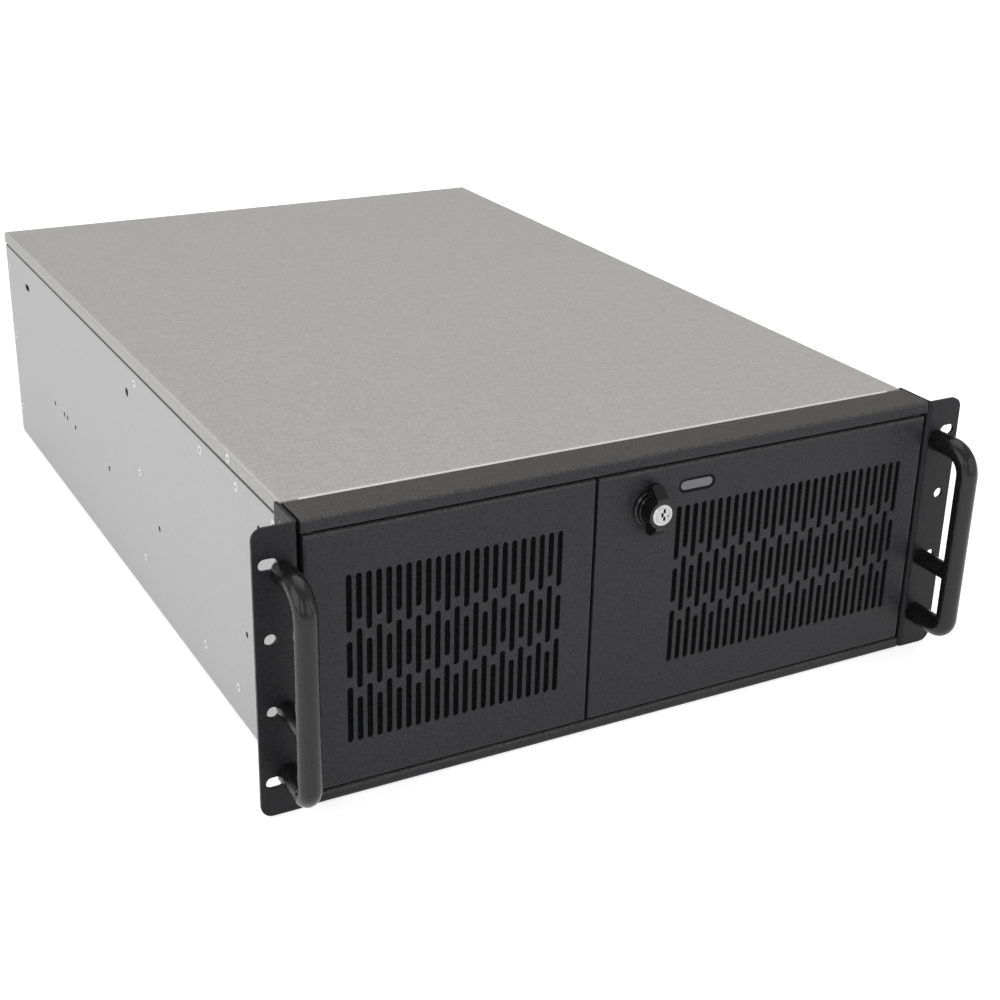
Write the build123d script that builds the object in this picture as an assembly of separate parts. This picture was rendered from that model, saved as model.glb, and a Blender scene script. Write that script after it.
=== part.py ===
from build123d import *
import os
from math import sqrt

# Empty 4U rackmount server case, in millimetres.
# X runs to the right seen from the front, Y runs from the front to the rear, Z is up.
# Every function works from the front plane of the doors at Y = 0 and the floor at Z = 0.
# The finished parts are moved back so that the origin is the middle of the footprint.

# Rack standard
RACK_WIDTH = 482.6
EAR_HOLE_INSET = 8.75
RACK_UNIT = 44.45
PANEL_HEIGHT = 177.0

# Body
EAR_FLANGE = 26.3
BODY_DEPTH = 650.0
SHEET = 1.2
BEND = 1.0
COVER_FLANGE = 8.6
SEAM = 1.2
TRAY_SHELF = 14.0
SHELF_GAP = 0.3
COVER_BEND = 2.5
COVER_CLEAR = 0.7
TOUCH = 0.05
RUN = 0.08

# Front box that holds the doors
FRONT_BOX = 27.5
LIP_HEIGHT = 8.4
STRIP_HEIGHT = 7.0
LIP_RETURN = 15.0
TRAY_FRONT = 13.0
SIDE_FLANGE_FRONT = 15.0
COVER_LIP_INSET = 11.5
COVER_LIP_DROP = 14.0

# Doors
DOOR_GAP = 1.3
DOOR_SIDE_GAP = 2.4
SPLIT_GAP = 1.6
DOOR_DEPTH = 13.0
DOOR_BEND = 2.0
DOOR_STOP_GAP = 0.3
HINGE_INSET = 4.6
HINGE_BACK = 5.2
PIN_RADIUS = 1.75
PIN_HEAD_RADIUS = 2.9
PIN_HEAD = 1.0
PIN_REACH = 5.5
WASHER_RADIUS = 2.9
CATCH_RETURN = 8.0

# Vents in the doors
VENT_LOW = 35.0
VENT_TOP_MARGIN = 27.3
VENT_PITCH = 6.0
SLOT_WIDTH = 3.5
SLOT_LAND = 5.5
SLOT_END_FACETS = 6
SHORT_MIDDLE = 23.0
SHORT_END = 28.3
LEFT_VENT_MARGINS = (23.85, 21.25)
RIGHT_VENT_MARGINS = (55.25, 16.25)
FILTER_MARGIN = 2.6
FILTER_THICK = 5.0
FRAME_SHEET = 1.0
FRAME_RIM = 4.0
FRAME_BAR = 4.0

# Centre post and its catches
POST_WIDTH = 18.0
POST_FOOT = 7.0
POST_LOW = 8.0
POST_TOP_GAP = 7.3
POST_BEND = 0.6
MAGNET_RADIUS = 3.0
MAGNET_LENGTH = 4.0
MAGNET_LOW = 22.0
MAGNET_DROP = 42.0

# Key lock on the right door
LOCK_SIDE = 36.7
LOCK_DROP = 23.8
BARREL_RADIUS = 8.0
BARREL_LENGTH = 14.5
RING_RADIUS = 11.8
RING_THICK = 2.6
RING_CHAMFER = 1.0
NUT_FLATS = 22.0
NUT_THICK = 4.0
KNOB_GAP = 0.3
KNOB_RADIUS = 8.8
KNOB_FRONT = 13.6
KNOB_FLANGE_RADIUS = 10.0
KNOB_FLANGE = 1.6
KNOB_FLANGE_CHAMFER = 0.5
WING_LENGTH = 32.8
WING_WIDTH = 7.8
WING_FOOT = 2.6
WING_CORNER = 2.4
WING_TOP = 9.4
WING_CHAMFER = 0.5
SPINDLE_RADIUS = 5.0
PLUG_RADIUS = 6.7
PLUG_DEPTH = 8.7
PLUG_PROUD = 0.3
PLUG_CHAMFER = 0.4
KEYWAY_DEPTH = 4.0
KEYWAY_WIDTH = 1.5
KEYWAY_STEP = 2.6
KEYWAY_STEPS = ((0.9, 2.6), (-0.5, 0.3), (0.9, -2.2))
DOT = (3.6, -1.0)
DOT_RADIUS = 0.5
DOT_DEPTH = 0.6
CAM_FRONT = 17.0
CAM_THICK = 2.0
CAM_LENGTH = 34.0
CAM_WIDTH = 12.0
CAM_CORNER = 2.5
CAM_FOOT = 1.5
CAM_SQUARE = 7.0
CAM_PLAY = 2.0
CAM_SCREW_RADIUS = 1.6
CAM_SCREW_HEAD = 3.8
CAM_SCREW_HEAD_THICK = 2.2
CAM_SCREW_LENGTH = 8.0
CAM_SCREW_END_GAP = 0.5

# Indicator window on the right door
WINDOW_SIDE = 32.7
WINDOW_DROP = 14.8
WINDOW_LENGTH = 22.6
WINDOW_WIDTH = 5.8
BEZEL_RIM = 1.7
BEZEL_SINK = 0.3
BEZEL_FLANGE = 1.6
FLANGE_LENGTH = 4.0
FLANGE_WIDTH = 3.0
LENS_SINK = 0.5
LENS_FLANGE = 1.0

# Ears
EAR_SHEET = 2.0
EAR_LEG = 30.0
EAR_CORNER = 7.0
EAR_TRIM = 0.5
EAR_BEND = 1.5
RACK_HOLE_RADIUS = 3.5
RACK_SLOT = 11.0
EAR_SCREW_RADIUS = 2.0
EAR_SCREW_HEAD = 3.9
EAR_SCREW_Y = 21.0
EAR_SCREW_TAIL = 2.0
EAR_SCREW_END = 12.0
EAR_SCREW_COUNT = 4
EAR_SCREW_SKIRT = 6.0

# Handles
HANDLE_SIDE = 9.5
TUBE_RADIUS = 6.7
STRUT_RADIUS = 5.5
HANDLE_REACH = 31.0
HANDLE_TOP_DROP = 27.5
HANDLE_BOTTOM = 25.5
HANDLE_MIDDLE = 66.0
TOP_BEND = 15.0
BOTTOM_BEND = 9.0
HANDLE_SCREW_RADIUS = 2.5
HANDLE_SCREW_HEAD = 4.5
HANDLE_SCREW_HEAD_THICK = 3.0
HANDLE_SCREW_DEPTH = 12.0

# Holes and rivets in the side walls, some placed from the front plane, some from the rear
RAIL_LOW_Z = 68.0
RAIL_LOW_FRONT = (87.0, 253.0)
RAIL_LOW_REAR = (280.0, 189.0, 166.0, 157.0, 129.0)
RAIL_LOW_RADIUS = 2.1
RAIL_HIGH_DROP = 20.7
RAIL_HIGH_Y = (60.0, 310.0)
RAIL_HIGH_RADIUS = 3.2
RAIL_SLOT_REAR = 67.0
RAIL_SLOT_LENGTH = 12.0
RAIL_SLOT_WIDTH = 5.0
RIVET_RADIUS = 1.6
RIVET_HEAD = 3.0
RIVET_HEAD_THICK = 0.5
RIVET_TAIL = 2.55
CAGE_TOP_RIVET_Y = (36.0, 94.5, 157.0)
CAGE_TOP_RIVET_UP = 14.0
CAGE_LOW_RIVET_Y = (105.0, 165.5)
CAGE_LOW_RIVET_UP = 6.5
BRACE_RIVET_UP = 11.7
BRACE_RIVET_DROP = 7.7
REAR_RIVET_BACK = 11.0
REAR_RIVET_LOW = 26.0
REAR_RIVET_DROPS = (77.2, 17.2)
HOOK_Y = 106.5
HOOK_RIVET_UP = 4.6
HOOK_LENGTH = 20.0
HOOK_PLAY = 1.0
HOOK_REACH = 2.0

# Drive cage behind the left door
BAY_WIDTH = 149.0
BAY_HEIGHT = 43.0
BAY_LOW = 17.0
CAGE_GAP = 0.6
CAGE_WALL_GAP = 15.8
CAGE_DEPTH = 147.0
CAGE_FLANGE = 16.0
CAGE_FOOT = 12.0
CAGE_SLOT_Y = (52.0, 106.0)
CAGE_SLOT_LENGTH = 24.0
CAGE_SLOT_HEIGHT = 4.0
CAGE_SLOT_UP = 10.0
BAY_SHELF = 3.0
BAY_SHELF_INSET = 8.0
BAY_FIT = 0.3
BLANK_THICK = 3.0
BLANK_ROUND = 0.8
BLANK_LIP = 2.0
BLANK_ARM = 22.0
BLANK_ARM_WIDTH = 12.0
BLANK_ARM_THICK = 1.6
BLANK_ARM_UP = 4.0

# Intake fans behind the right door
FAN_SIZE = 80.0
FAN_DEPTH = 25.0
FAN_PITCH = 84.0
FAN_WALL_GAP = 21.2
FAN_Z = 87.5
FAN_BORE = 38.4
FAN_HOLE_SPAN = 71.5
FAN_HOLE_RADIUS = 2.2
FAN_SPIDER = 3.0
FAN_EYE = 14.0
FAN_CORNER = 4.0
FAN_RIM = 5.0
FAN_WALL = 1.8
FAN_STRUT = 5.0
ROTOR_SINK = 1.5
FAN_HUB = 16.0
FAN_HUB_DEPTH = 17.0
HUB_ROUND = 2.0
FAN_TIP = 37.4
FAN_BLADES = 7
BLADE_THICK = 1.4
BLADE_CHORD = 18.2
BLADE_TURN = 50.0
BLADE_ROOT = 3.0
BLADE_TRIM = 0.3
MOTOR_RADIUS = 15.0
MOTOR_DEPTH = 3.4
SHAFT_RADIUS = 1.5
FAN_SCREW_HEAD = 3.4
FAN_SCREW_HEAD_THICK = 1.8
FAN_SCREW_LENGTH = 9.0

# Control strip above the intake fans
CONTROL_LEFT = 16.2
CONTROL_LENGTH = 126.0
BOARD_FRONT = 36.0
BOARD_THICK = 1.6
BOARD_HEIGHT = 15.0
LED_SPREAD = 5.8
LED_RADIUS = 2.5
LED_PROUD = 3.0
POWER_SIDE = 37.8
POWER_RADIUS = 6.0
RESET_SIDE = 56.8
RESET_RADIUS = 2.4
BUTTON_PROUD = 2.4
BUTTON_TRAVEL = 1.5
BUTTON_FLANGE = 1.2
BUTTON_FLANGE_THICK = 1.0
BUTTON_CLEAR = 0.15
BUTTON_CHAMFER = 0.5
STEM_RADIUS = 1.8
SWITCH_DEPTH = 4.5
SWITCH_SIZE = 8.0
USB_SIDES = (77.8, 97.8)
USB_WIDTH = 13.2
USB_HEIGHT = 5.8
USB_PROUD = 0.8
USB_SHEET = 0.4
USB_BACK = 2.0
USB_TONGUE_INSET = 1.2
USB_TONGUE_LOW = 0.3
USB_TONGUE_THICK = 1.8
SPACER_SIDES = (22.8, 67.3)
SPACER_RADIUS = 3.0

# Cross brace over the expansion cards
BRACE_Y = 289.0
BRACE_WIDTH = 24.0
BRACE_LOW = 20.0
BRACE_SHELF_DROP = 21.2
BRACE_SHELF = 20.0
BRACE_WEB = 10.0
BAR_END_GAP = 0.6
BAR_HEIGHT = 10.0
BAR_SCREW_RADIUS = 2.0
BAR_SCREW_HEAD = 4.0
BAR_SCREW_HEAD_THICK = 2.4
BAR_SCREW_LENGTH = 6.0

# Rear panel
REAR_RETURN = 14.0
IO_WIDTH = 158.75
IO_HEIGHT = 44.45
IO_GAP = 12.125
IO_LOW = 5.0
PSU_WIDTH = 86.0
PSU_HEIGHT = 150.0
PSU_WALL_GAP = 8.8
PSU_LOW = 9.0
PSU_EDGE = 6.0
PSU_INNER = 16.0
PSU_HOLE_RADIUS = 1.9
PSU_FRAME = 10.0
SLOT_PITCH = 20.32
SLOT_GAP = 18.125
SLOT_WALL_GAP = 20.0
SLOT_OPENING = 14.0
SLOT_LOW = 10.0
SLOT_TOP_BAR = 6.0
SLOT_LEDGE_Z = 121.0
SLOT_RECESS = 12.0
RECESS_MARGIN = 4.0
SLOT_BRACKET = 18.4
SLOT_BRACKET_SHEET = 0.8
SLOT_BRACKET_LAP = 2.0
SLOT_TAB_GAP = 0.4
REAR_VENT_PITCH = 80.0
REAR_VENT_Z = 107.0
CARD_SCREW_RADIUS = 1.5
CARD_SCREW_HEAD = 3.2
CARD_SCREW_HEAD_THICK = 2.0
CARD_SCREW_LENGTH = 5.0
COVER_REAR_DROP = 14.0
COVER_SCREW_INSET = 53.8
COVER_SCREW_RADIUS = 1.6
COVER_SCREW_HEAD = 3.4
COVER_SCREW_HEAD_THICK = 2.0
COVER_SCREW_LENGTH = 6.0

# Board standoffs, spaced as an ATX board's holes, each with a stud in the floor
BOARD_HOLE_SIDE = 73.5
BOARD_HOLE_BACK = 9.0
BOARD_COLUMNS = (0.0, 157.48, 281.94)
BOARD_ROWS = (0.0, 154.94, 227.33)
BOARD_WALL_GAP = 12.0
STANDOFF_HEIGHT = 6.5
STANDOFF_FLATS = 5.0
STANDOFF_BORE = 1.25
STANDOFF_BORE_DEPTH = 6.0
STUD_RADIUS = 1.5
STUD_SINK = 0.2

# Derived places that several pieces share
SIDE_OUT = RACK_WIDTH / 2 - EAR_FLANGE
SIDE_IN = SIDE_OUT - SHEET
COVER_LOW = PANEL_HEIGHT - COVER_FLANGE
TRAY_HEIGHT = COVER_LOW - SEAM
WALL_FRONT = FRONT_BOX - SHEET
LIP_LOW = PANEL_HEIGHT - LIP_HEIGHT
COVER_FRONT = FRONT_BOX + TOUCH
COVER_LIP_HALF = SIDE_OUT - COVER_LIP_INSET
CAGE_X = -SIDE_IN + CAGE_WALL_GAP + SHEET + BAY_WIDTH / 2
SPLIT_X = CAGE_X + BAY_WIDTH / 2 + CAGE_GAP + POST_FOOT + POST_WIDTH / 2
DOOR_LOW = STRIP_HEIGHT + DOOR_GAP
DOOR_HIGH = LIP_LOW - DOOR_GAP
DOOR_OUT = SIDE_OUT - DOOR_SIDE_GAP
HINGE_X = DOOR_OUT - HINGE_INSET
LEFT_DOOR_X = (-DOOR_OUT, SPLIT_X - SPLIT_GAP / 2)
RIGHT_DOOR_X = (SPLIT_X + SPLIT_GAP / 2, DOOR_OUT)
LEFT_VENT = (LEFT_DOOR_X[0] + LEFT_VENT_MARGINS[0], LEFT_DOOR_X[1] - LEFT_VENT_MARGINS[1])
RIGHT_VENT = (RIGHT_DOOR_X[0] + RIGHT_VENT_MARGINS[0], RIGHT_DOOR_X[1] - RIGHT_VENT_MARGINS[1])
LEFT_VENT_X = sum(LEFT_VENT) / 2
RIGHT_VENT_X = sum(RIGHT_VENT) / 2
LEFT_COLUMNS = round((LEFT_VENT[1] - LEFT_VENT[0] - SLOT_WIDTH) / VENT_PITCH) + 1
RIGHT_COLUMNS = round((RIGHT_VENT[1] - RIGHT_VENT[0] - SLOT_WIDTH) / VENT_PITCH) + 1
VENT_HIGH = DOOR_HIGH - VENT_TOP_MARGIN
VENT_HEIGHT = VENT_HIGH - VENT_LOW
POST_FRONT = DOOR_DEPTH + DOOR_STOP_GAP
POST_HIGH = DOOR_HIGH - POST_TOP_GAP
MAGNET_Z = (POST_LOW + MAGNET_LOW, POST_HIGH - MAGNET_DROP)
LOCK_X = SPLIT_X + LOCK_SIDE
LOCK_Z = DOOR_HIGH - LOCK_DROP
CAM_BACK = CAM_FRONT + CAM_THICK
WINDOW_X = LOCK_X + WINDOW_SIDE
WINDOW_Z = DOOR_HIGH - WINDOW_DROP
CONTROL_Z = WINDOW_Z
CONTROL_X = (WINDOW_X - CONTROL_LEFT, WINDOW_X - CONTROL_LEFT + CONTROL_LENGTH)
LED_X = (WINDOW_X - LED_SPREAD, WINDOW_X + LED_SPREAD)
POWER_X = WINDOW_X + POWER_SIDE
RESET_X = WINDOW_X + RESET_SIDE
USB_X = tuple(WINDOW_X + i for i in USB_SIDES)
SPACER_X = tuple(WINDOW_X + i for i in SPACER_SIDES)
EAR_CENTRE_Z = PANEL_HEIGHT / 2
EAR_SCREW_STEP = (PANEL_HEIGHT - 2 * EAR_SCREW_END) / (EAR_SCREW_COUNT - 1)
EAR_SCREW_Z = tuple(EAR_SCREW_END + i * EAR_SCREW_STEP for i in range(EAR_SCREW_COUNT))
HANDLE_X = SIDE_OUT + HANDLE_SIDE
HANDLE_TOP = PANEL_HEIGHT - HANDLE_TOP_DROP
RAIL_LOW_Y = RAIL_LOW_FRONT + tuple(BODY_DEPTH - i for i in RAIL_LOW_REAR)
RAIL_HIGH_Z = TRAY_HEIGHT - RAIL_HIGH_DROP
RAIL_SLOT_Y = BODY_DEPTH - RAIL_SLOT_REAR
HOOK_LOW = TRAY_HEIGHT - SHEET - HOOK_REACH
HOOK_RIVET = (HOOK_Y, COVER_LOW + HOOK_RIVET_UP)
BAY_COUNT = int((HOOK_LOW - SHEET - CAGE_FLANGE - BAY_LOW) / BAY_HEIGHT)
CAGE_TOP = BAY_LOW + BAY_COUNT * BAY_HEIGHT
BRACE_TOP = TRAY_HEIGHT - SHEET - BEND
BRACE_SHELF_Z = TRAY_HEIGHT - BRACE_SHELF_DROP
BRACE_ENDS = (BRACE_LOW + BRACE_RIVET_UP, TRAY_HEIGHT - BRACE_RIVET_DROP)
BRACE_RIVET_Z = (BRACE_ENDS[0], sum(BRACE_ENDS) / 2, BRACE_ENDS[1])
REAR_RIVET_Y = BODY_DEPTH - REAR_RIVET_BACK
REAR_RIVET_Z = (REAR_RIVET_LOW, *(TRAY_HEIGHT - i for i in REAR_RIVET_DROPS))
REAR_FACE = BODY_DEPTH - SHEET
REAR_INSIDE = REAR_FACE - SHEET
RECESS_FACE = REAR_FACE - SLOT_RECESS
FAN_RIGHT_X = SIDE_IN - FAN_WALL_GAP - FAN_SIZE / 2
FAN_X = (FAN_RIGHT_X - FAN_PITCH, FAN_RIGHT_X)
PSU_X = SIDE_IN - PSU_WALL_GAP - PSU_WIDTH / 2
IO_X = PSU_X - PSU_WIDTH / 2 - IO_GAP - IO_WIDTH / 2
SLOT_FIRST_X = IO_X - IO_WIDTH / 2 - SLOT_GAP
SLOT_COUNT = int((SLOT_FIRST_X + SIDE_IN - SLOT_WALL_GAP) / SLOT_PITCH) + 1
SLOT_X = tuple(SLOT_FIRST_X - SLOT_PITCH * i for i in range(SLOT_COUNT))
REAR_VENT_X = (IO_X - REAR_VENT_PITCH / 2, IO_X + REAR_VENT_PITCH / 2)
BOARD_HOLE_X = IO_X + BOARD_HOLE_SIDE
COVER_SCREW_X = (COVER_SCREW_INSET - SIDE_IN, 0.0, SIDE_IN - COVER_SCREW_INSET)
FRONT_REACH = HANDLE_REACH + TUBE_RADIUS
REAR_REACH = BODY_DEPTH + COVER_SCREW_HEAD_THICK
MIDDLE_Y = (REAR_REACH - FRONT_REACH) / 2


def block(x, y, z):
    """Box from three (low, high) spans."""
    size = Box(x[1] - x[0], y[1] - y[0], z[1] - z[0])
    return Pos((x[0] + x[1]) / 2, (y[0] + y[1]) / 2, (z[0] + z[1]) / 2) * size


def around(middle, width):
    """Span of the given width about a middle value."""
    return (middle - width / 2, middle + width / 2)


def upright(sketch, y):
    """Solid from a sketch drawn in X and Z, over the span y."""
    return extrude(Plane.XZ.offset(-y[1]) * sketch, y[1] - y[0])


def rod_x(y, z, radius, x):
    """Round rod along X over the span x."""
    return Pos((x[0] + x[1]) / 2, y, z) * Rot(0, 90, 0) * Cylinder(radius, abs(x[1] - x[0]))


def rod_y(x, z, radius, y):
    """Round rod along Y over the span y."""
    return Pos(x, (y[0] + y[1]) / 2, z) * Rot(90, 0, 0) * Cylinder(radius, y[1] - y[0])


def rod_z(x, y, radius, z):
    """Round rod along Z over the span z."""
    return Pos(x, y, (z[0] + z[1]) / 2) * Cylinder(radius, z[1] - z[0])


def slot_y(x, z, length, width, y, turn=0):
    """Round-ended bar along Y, lying along X, or along Z when turned by 90."""
    return upright(Pos(x, z) * SlotOverall(length, width, rotation=turn), y)


def folded(points, thickness, bend=BEND):
    """Cross-section of a folded sheet along its middle line, with round bends."""
    return trace(FilletPolyline(*points, radius=bend + thickness / 2), thickness)


def mirrored(shape):
    """Same shape on the other side of the case."""
    return mirror(shape, Plane.YZ)


def group(shapes):
    """Separate solids of one kind as one node."""
    return Compound([solid for shape in shapes for solid in shape.solids()])


def hexagon(flats):
    """Hexagon by its width across flats."""
    return RegularPolygon(flats / sqrt(3), 6)


def side_holes(side):
    """Rail holes and rivet holes of one side wall, side is -1 or 1."""
    span = (side * (SIDE_IN - 3), side * (SIDE_OUT + 1))
    cuts = [rod_x(y, RAIL_LOW_Z, RAIL_LOW_RADIUS, span) for y in RAIL_LOW_Y]
    cuts += [rod_x(y, RAIL_HIGH_Z, RAIL_HIGH_RADIUS, span) for y in RAIL_HIGH_Y]
    ends = around(RAIL_SLOT_Y, RAIL_SLOT_LENGTH - RAIL_SLOT_WIDTH)
    cuts += [rod_x(y, RAIL_HIGH_Z, RAIL_SLOT_WIDTH / 2, span) for y in ends]
    cuts.append(block((min(span), max(span)), ends, around(RAIL_HIGH_Z, RAIL_SLOT_WIDTH)))
    cuts += [rod_x(y, z, RIVET_RADIUS + TOUCH, span) for y, z in rivet_places(side)]
    cuts += [rod_x(EAR_SCREW_Y, z, EAR_SCREW_RADIUS + TOUCH, span) for z in EAR_SCREW_Z]
    return cuts


def rivet_places(side):
    """Rivets of one side wall as (y, z)."""
    places = [(BRACE_Y, z) for z in BRACE_RIVET_Z]
    places += [(REAR_RIVET_Y, z) for z in REAR_RIVET_Z]
    if side < 0:
        places += cage_rivets()
    return places


def cage_rivets():
    """Rivets of the drive cage's two flanges as (y, z)."""
    places = [(y, CAGE_TOP + CAGE_TOP_RIVET_UP) for y in CAGE_TOP_RIVET_Y]
    return places + [(y, BAY_LOW + CAGE_LOW_RIVET_UP) for y in CAGE_LOW_RIVET_Y]


def chassis_tray():
    """Floor and side walls in one sheet, with shelves and upstands that carry the cover."""
    wall = SIDE_OUT - SHEET / 2
    shelf = TRAY_HEIGHT - SHEET / 2
    floor = SHEET / 2
    stand = SIDE_OUT - TRAY_SHELF
    under_cover = PANEL_HEIGHT - SHEET - TOUCH
    path = [(stand, under_cover), (stand, shelf), (wall, shelf), (wall, floor)]
    path += [(-wall, floor), (-wall, shelf), (-stand, shelf), (-stand, under_cover)]
    tray = upright(folded(path, SHEET), (TRAY_FRONT, REAR_FACE))
    skirt = (-1, EAR_SCREW_END - EAR_SCREW_SKIRT)
    tray -= block((-SIDE_OUT - 1, SIDE_OUT + 1), (TRAY_FRONT - 1, FRONT_BOX), skirt)
    front_shelf = (TRAY_HEIGHT - SHEET - BEND, PANEL_HEIGHT)
    tray -= block((-SIDE_IN, SIDE_IN), (TRAY_FRONT - 1, COVER_FRONT + COVER_BEND + SHELF_GAP), front_shelf)
    tray -= block((-SIDE_IN, SIDE_IN), (REAR_INSIDE - SHELF_GAP, REAR_FACE + 1), (TRAY_HEIGHT, PANEL_HEIGHT))
    hook = around(HOOK_Y, HOOK_LENGTH + 2 * HOOK_PLAY)
    for side in (-1, 1):
        slot_x = sorted((side * SIDE_IN, side * (SIDE_IN - SHEET - BEND)))
        tray -= block(slot_x, hook, front_shelf)
        tray -= side_holes(side)
    tray -= [rod_z(x, y, STUD_RADIUS + TOUCH, (-1, SHEET + 1)) for x, y in standoff_places()]
    return tray


def fan_opening(x, z, y):
    """Round fan opening crossed by a thin spider with a middle eye, as cutting solids."""
    ring = Circle(FAN_BORE) - Circle(FAN_EYE)
    arms = Rectangle(2 * FAN_SIZE, FAN_SPIDER) + Rectangle(FAN_SPIDER, 2 * FAN_SIZE)
    eye = Circle(FAN_EYE - FAN_SPIDER) - arms
    sectors = Rot(0, 0, 45) * (ring - arms) + Rot(0, 0, 45) * eye
    return upright(Pos(x, z) * sectors, y)


def fan_corners(x, z):
    """Centres of a fan's four screw holes."""
    half = FAN_HOLE_SPAN / 2
    return [(x + i * half, z + j * half) for i in (-1, 1) for j in (-1, 1)]


def front_panel():
    """Black front box: cap, lip, inner wall and bottom strip folded from one sheet."""
    top = PANEL_HEIGHT - SHEET / 2
    low = SHEET / 2
    back = FRONT_BOX - SHEET / 2
    path = [(LIP_RETURN, LIP_LOW + SHEET / 2), (low, LIP_LOW + SHEET / 2), (low, top), (back, top)]
    path += [(back, low), (low, low), (low, STRIP_HEIGHT - SHEET / 2)]
    path += [(LIP_RETURN, STRIP_HEIGHT - SHEET / 2)]
    inner = SIDE_IN - SHEET
    skin = 0.6 * SHEET
    panel = extrude(Plane.YZ.offset(-SIDE_IN) * folded(path, SHEET), 2 * SIDE_IN)
    for side in (-1, 1):
        x = sorted((side * inner, side * SIDE_IN))
        panel += block(x, (skin, FRONT_BOX - skin), (LIP_LOW + skin, PANEL_HEIGHT - skin))
        panel += block(x, (SIDE_FLANGE_FRONT, FRONT_BOX - skin), (skin, PANEL_HEIGHT - skin))
        panel += block(x, (skin, FRONT_BOX - skin), (skin, STRIP_HEIGHT - skin))
        screws = (side * (inner - 1), side * (SIDE_IN + 1))
        panel -= [rod_x(EAR_SCREW_Y, z, EAR_SCREW_RADIUS + TOUCH, screws) for z in EAR_SCREW_Z]
        top_pin = (LIP_LOW - 1, LIP_LOW + SHEET + 1)
        low_pin = (STRIP_HEIGHT - SHEET - 1, STRIP_HEIGHT + 1)
        panel -= rod_z(side * HINGE_X, HINGE_BACK, PIN_RADIUS + TOUCH, top_pin)
        panel -= rod_z(side * HINGE_X, HINGE_BACK, PIN_RADIUS + TOUCH, low_pin)
    through = (WALL_FRONT - 1, FRONT_BOX + 1)
    panel -= block(around(CAGE_X, BAY_WIDTH), through, (BAY_LOW, CAGE_TOP))
    for x in FAN_X:
        panel -= fan_opening(x, FAN_Z, through)
        panel -= [rod_y(i, j, FAN_HOLE_RADIUS, through) for i, j in fan_corners(x, FAN_Z)]
    panel -= [rod_y(x, CONTROL_Z, LED_RADIUS + BUTTON_CLEAR, through) for x in LED_X]
    panel -= rod_y(POWER_X, CONTROL_Z, POWER_RADIUS + BUTTON_CLEAR, through)
    panel -= rod_y(RESET_X, CONTROL_Z, RESET_RADIUS + BUTTON_CLEAR, through)
    usb_z = around(CONTROL_Z, USB_HEIGHT + 2 * BUTTON_CLEAR)
    panel -= [block(around(x, USB_WIDTH + 2 * BUTTON_CLEAR), through, usb_z) for x in USB_X]
    return panel


def center_post():
    """Upright hat channel between the doors, slotted for the lock's cam."""
    half = POST_WIDTH / 2 - SHEET / 2
    foot = WALL_FRONT - SHEET / 2
    face = POST_FRONT + SHEET / 2
    path = [(-half - POST_FOOT, foot), (-half, foot), (-half, face)]
    path += [(half, face), (half, foot), (half + POST_FOOT, foot)]
    post = extrude(folded(path, SHEET, POST_BEND), POST_HIGH - POST_LOW)
    post = Pos(SPLIT_X, 0, POST_LOW) * post
    web_x = (SPLIT_X + POST_WIDTH / 2 - 2 * SHEET, SPLIT_X + POST_WIDTH / 2 + 1)
    reach = LOCK_X - web_x[0]
    drop = sqrt((CAM_LENGTH + 1) ** 2 - reach ** 2) + CAM_WIDTH / 2
    slot_z = (LOCK_Z - drop, LOCK_Z + CAM_WIDTH / 2 + CAM_PLAY)
    post -= block(web_x, (CAM_FRONT - CAM_PLAY, CAM_BACK + CAM_PLAY), slot_z)
    post -= [magnet_body(z, TOUCH) for z in MAGNET_Z]
    return post


def magnet_body(z, clearance):
    """Round magnet set in the post's face behind the left door's return."""
    x = SPLIT_X - SPLIT_GAP / 2 - CATCH_RETURN / 2
    front = POST_FRONT - clearance
    return rod_y(x, z, MAGNET_RADIUS + clearance, (front, POST_FRONT + MAGNET_LENGTH))


def hinge_pins():
    """Four headed pins on which the doors turn."""
    pins = []
    for x in (-HINGE_X, HINGE_X):
        seat = LIP_LOW + SHEET
        pin = rod_z(x, HINGE_BACK, PIN_RADIUS, (DOOR_HIGH - PIN_REACH, seat + PIN_HEAD))
        pins.append(pin + rod_z(x, HINGE_BACK, PIN_HEAD_RADIUS, (seat, seat + PIN_HEAD)))
        seat = STRIP_HEIGHT - SHEET
        pin = rod_z(x, HINGE_BACK, PIN_RADIUS, (seat - PIN_HEAD, DOOR_LOW + PIN_REACH))
        pins.append(pin + rod_z(x, HINGE_BACK, PIN_HEAD_RADIUS, (seat - PIN_HEAD, seat)))
    return group(pins)


def hinge_washers():
    """Washers on the pins that carry the doors and keep them off the frame."""
    gap = DOOR_GAP - 2 * TOUCH
    profile = Circle(WASHER_RADIUS) - Circle(PIN_RADIUS + TOUCH)
    washer = extrude(profile, gap)
    places = [(x, z) for x in (-HINGE_X, HINGE_X) for z in (STRIP_HEIGHT, DOOR_HIGH + 2 * TOUCH)]
    return group([Pos(x, HINGE_BACK, z) * washer for x, z in places])


def vent_slot(x, z, length):
    """One upright vent slot as a cutting solid, its round ends in a few facets."""
    end = RegularPolygon(SLOT_WIDTH / 2, 2 * SLOT_END_FACETS)
    middle = (length - SLOT_WIDTH) / 2
    outline = Rectangle(SLOT_WIDTH, 2 * middle) + Pos(0, middle) * end + Pos(0, -middle) * end
    return upright(Pos(x, z) * outline, (-1, SHEET + 1))


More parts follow.
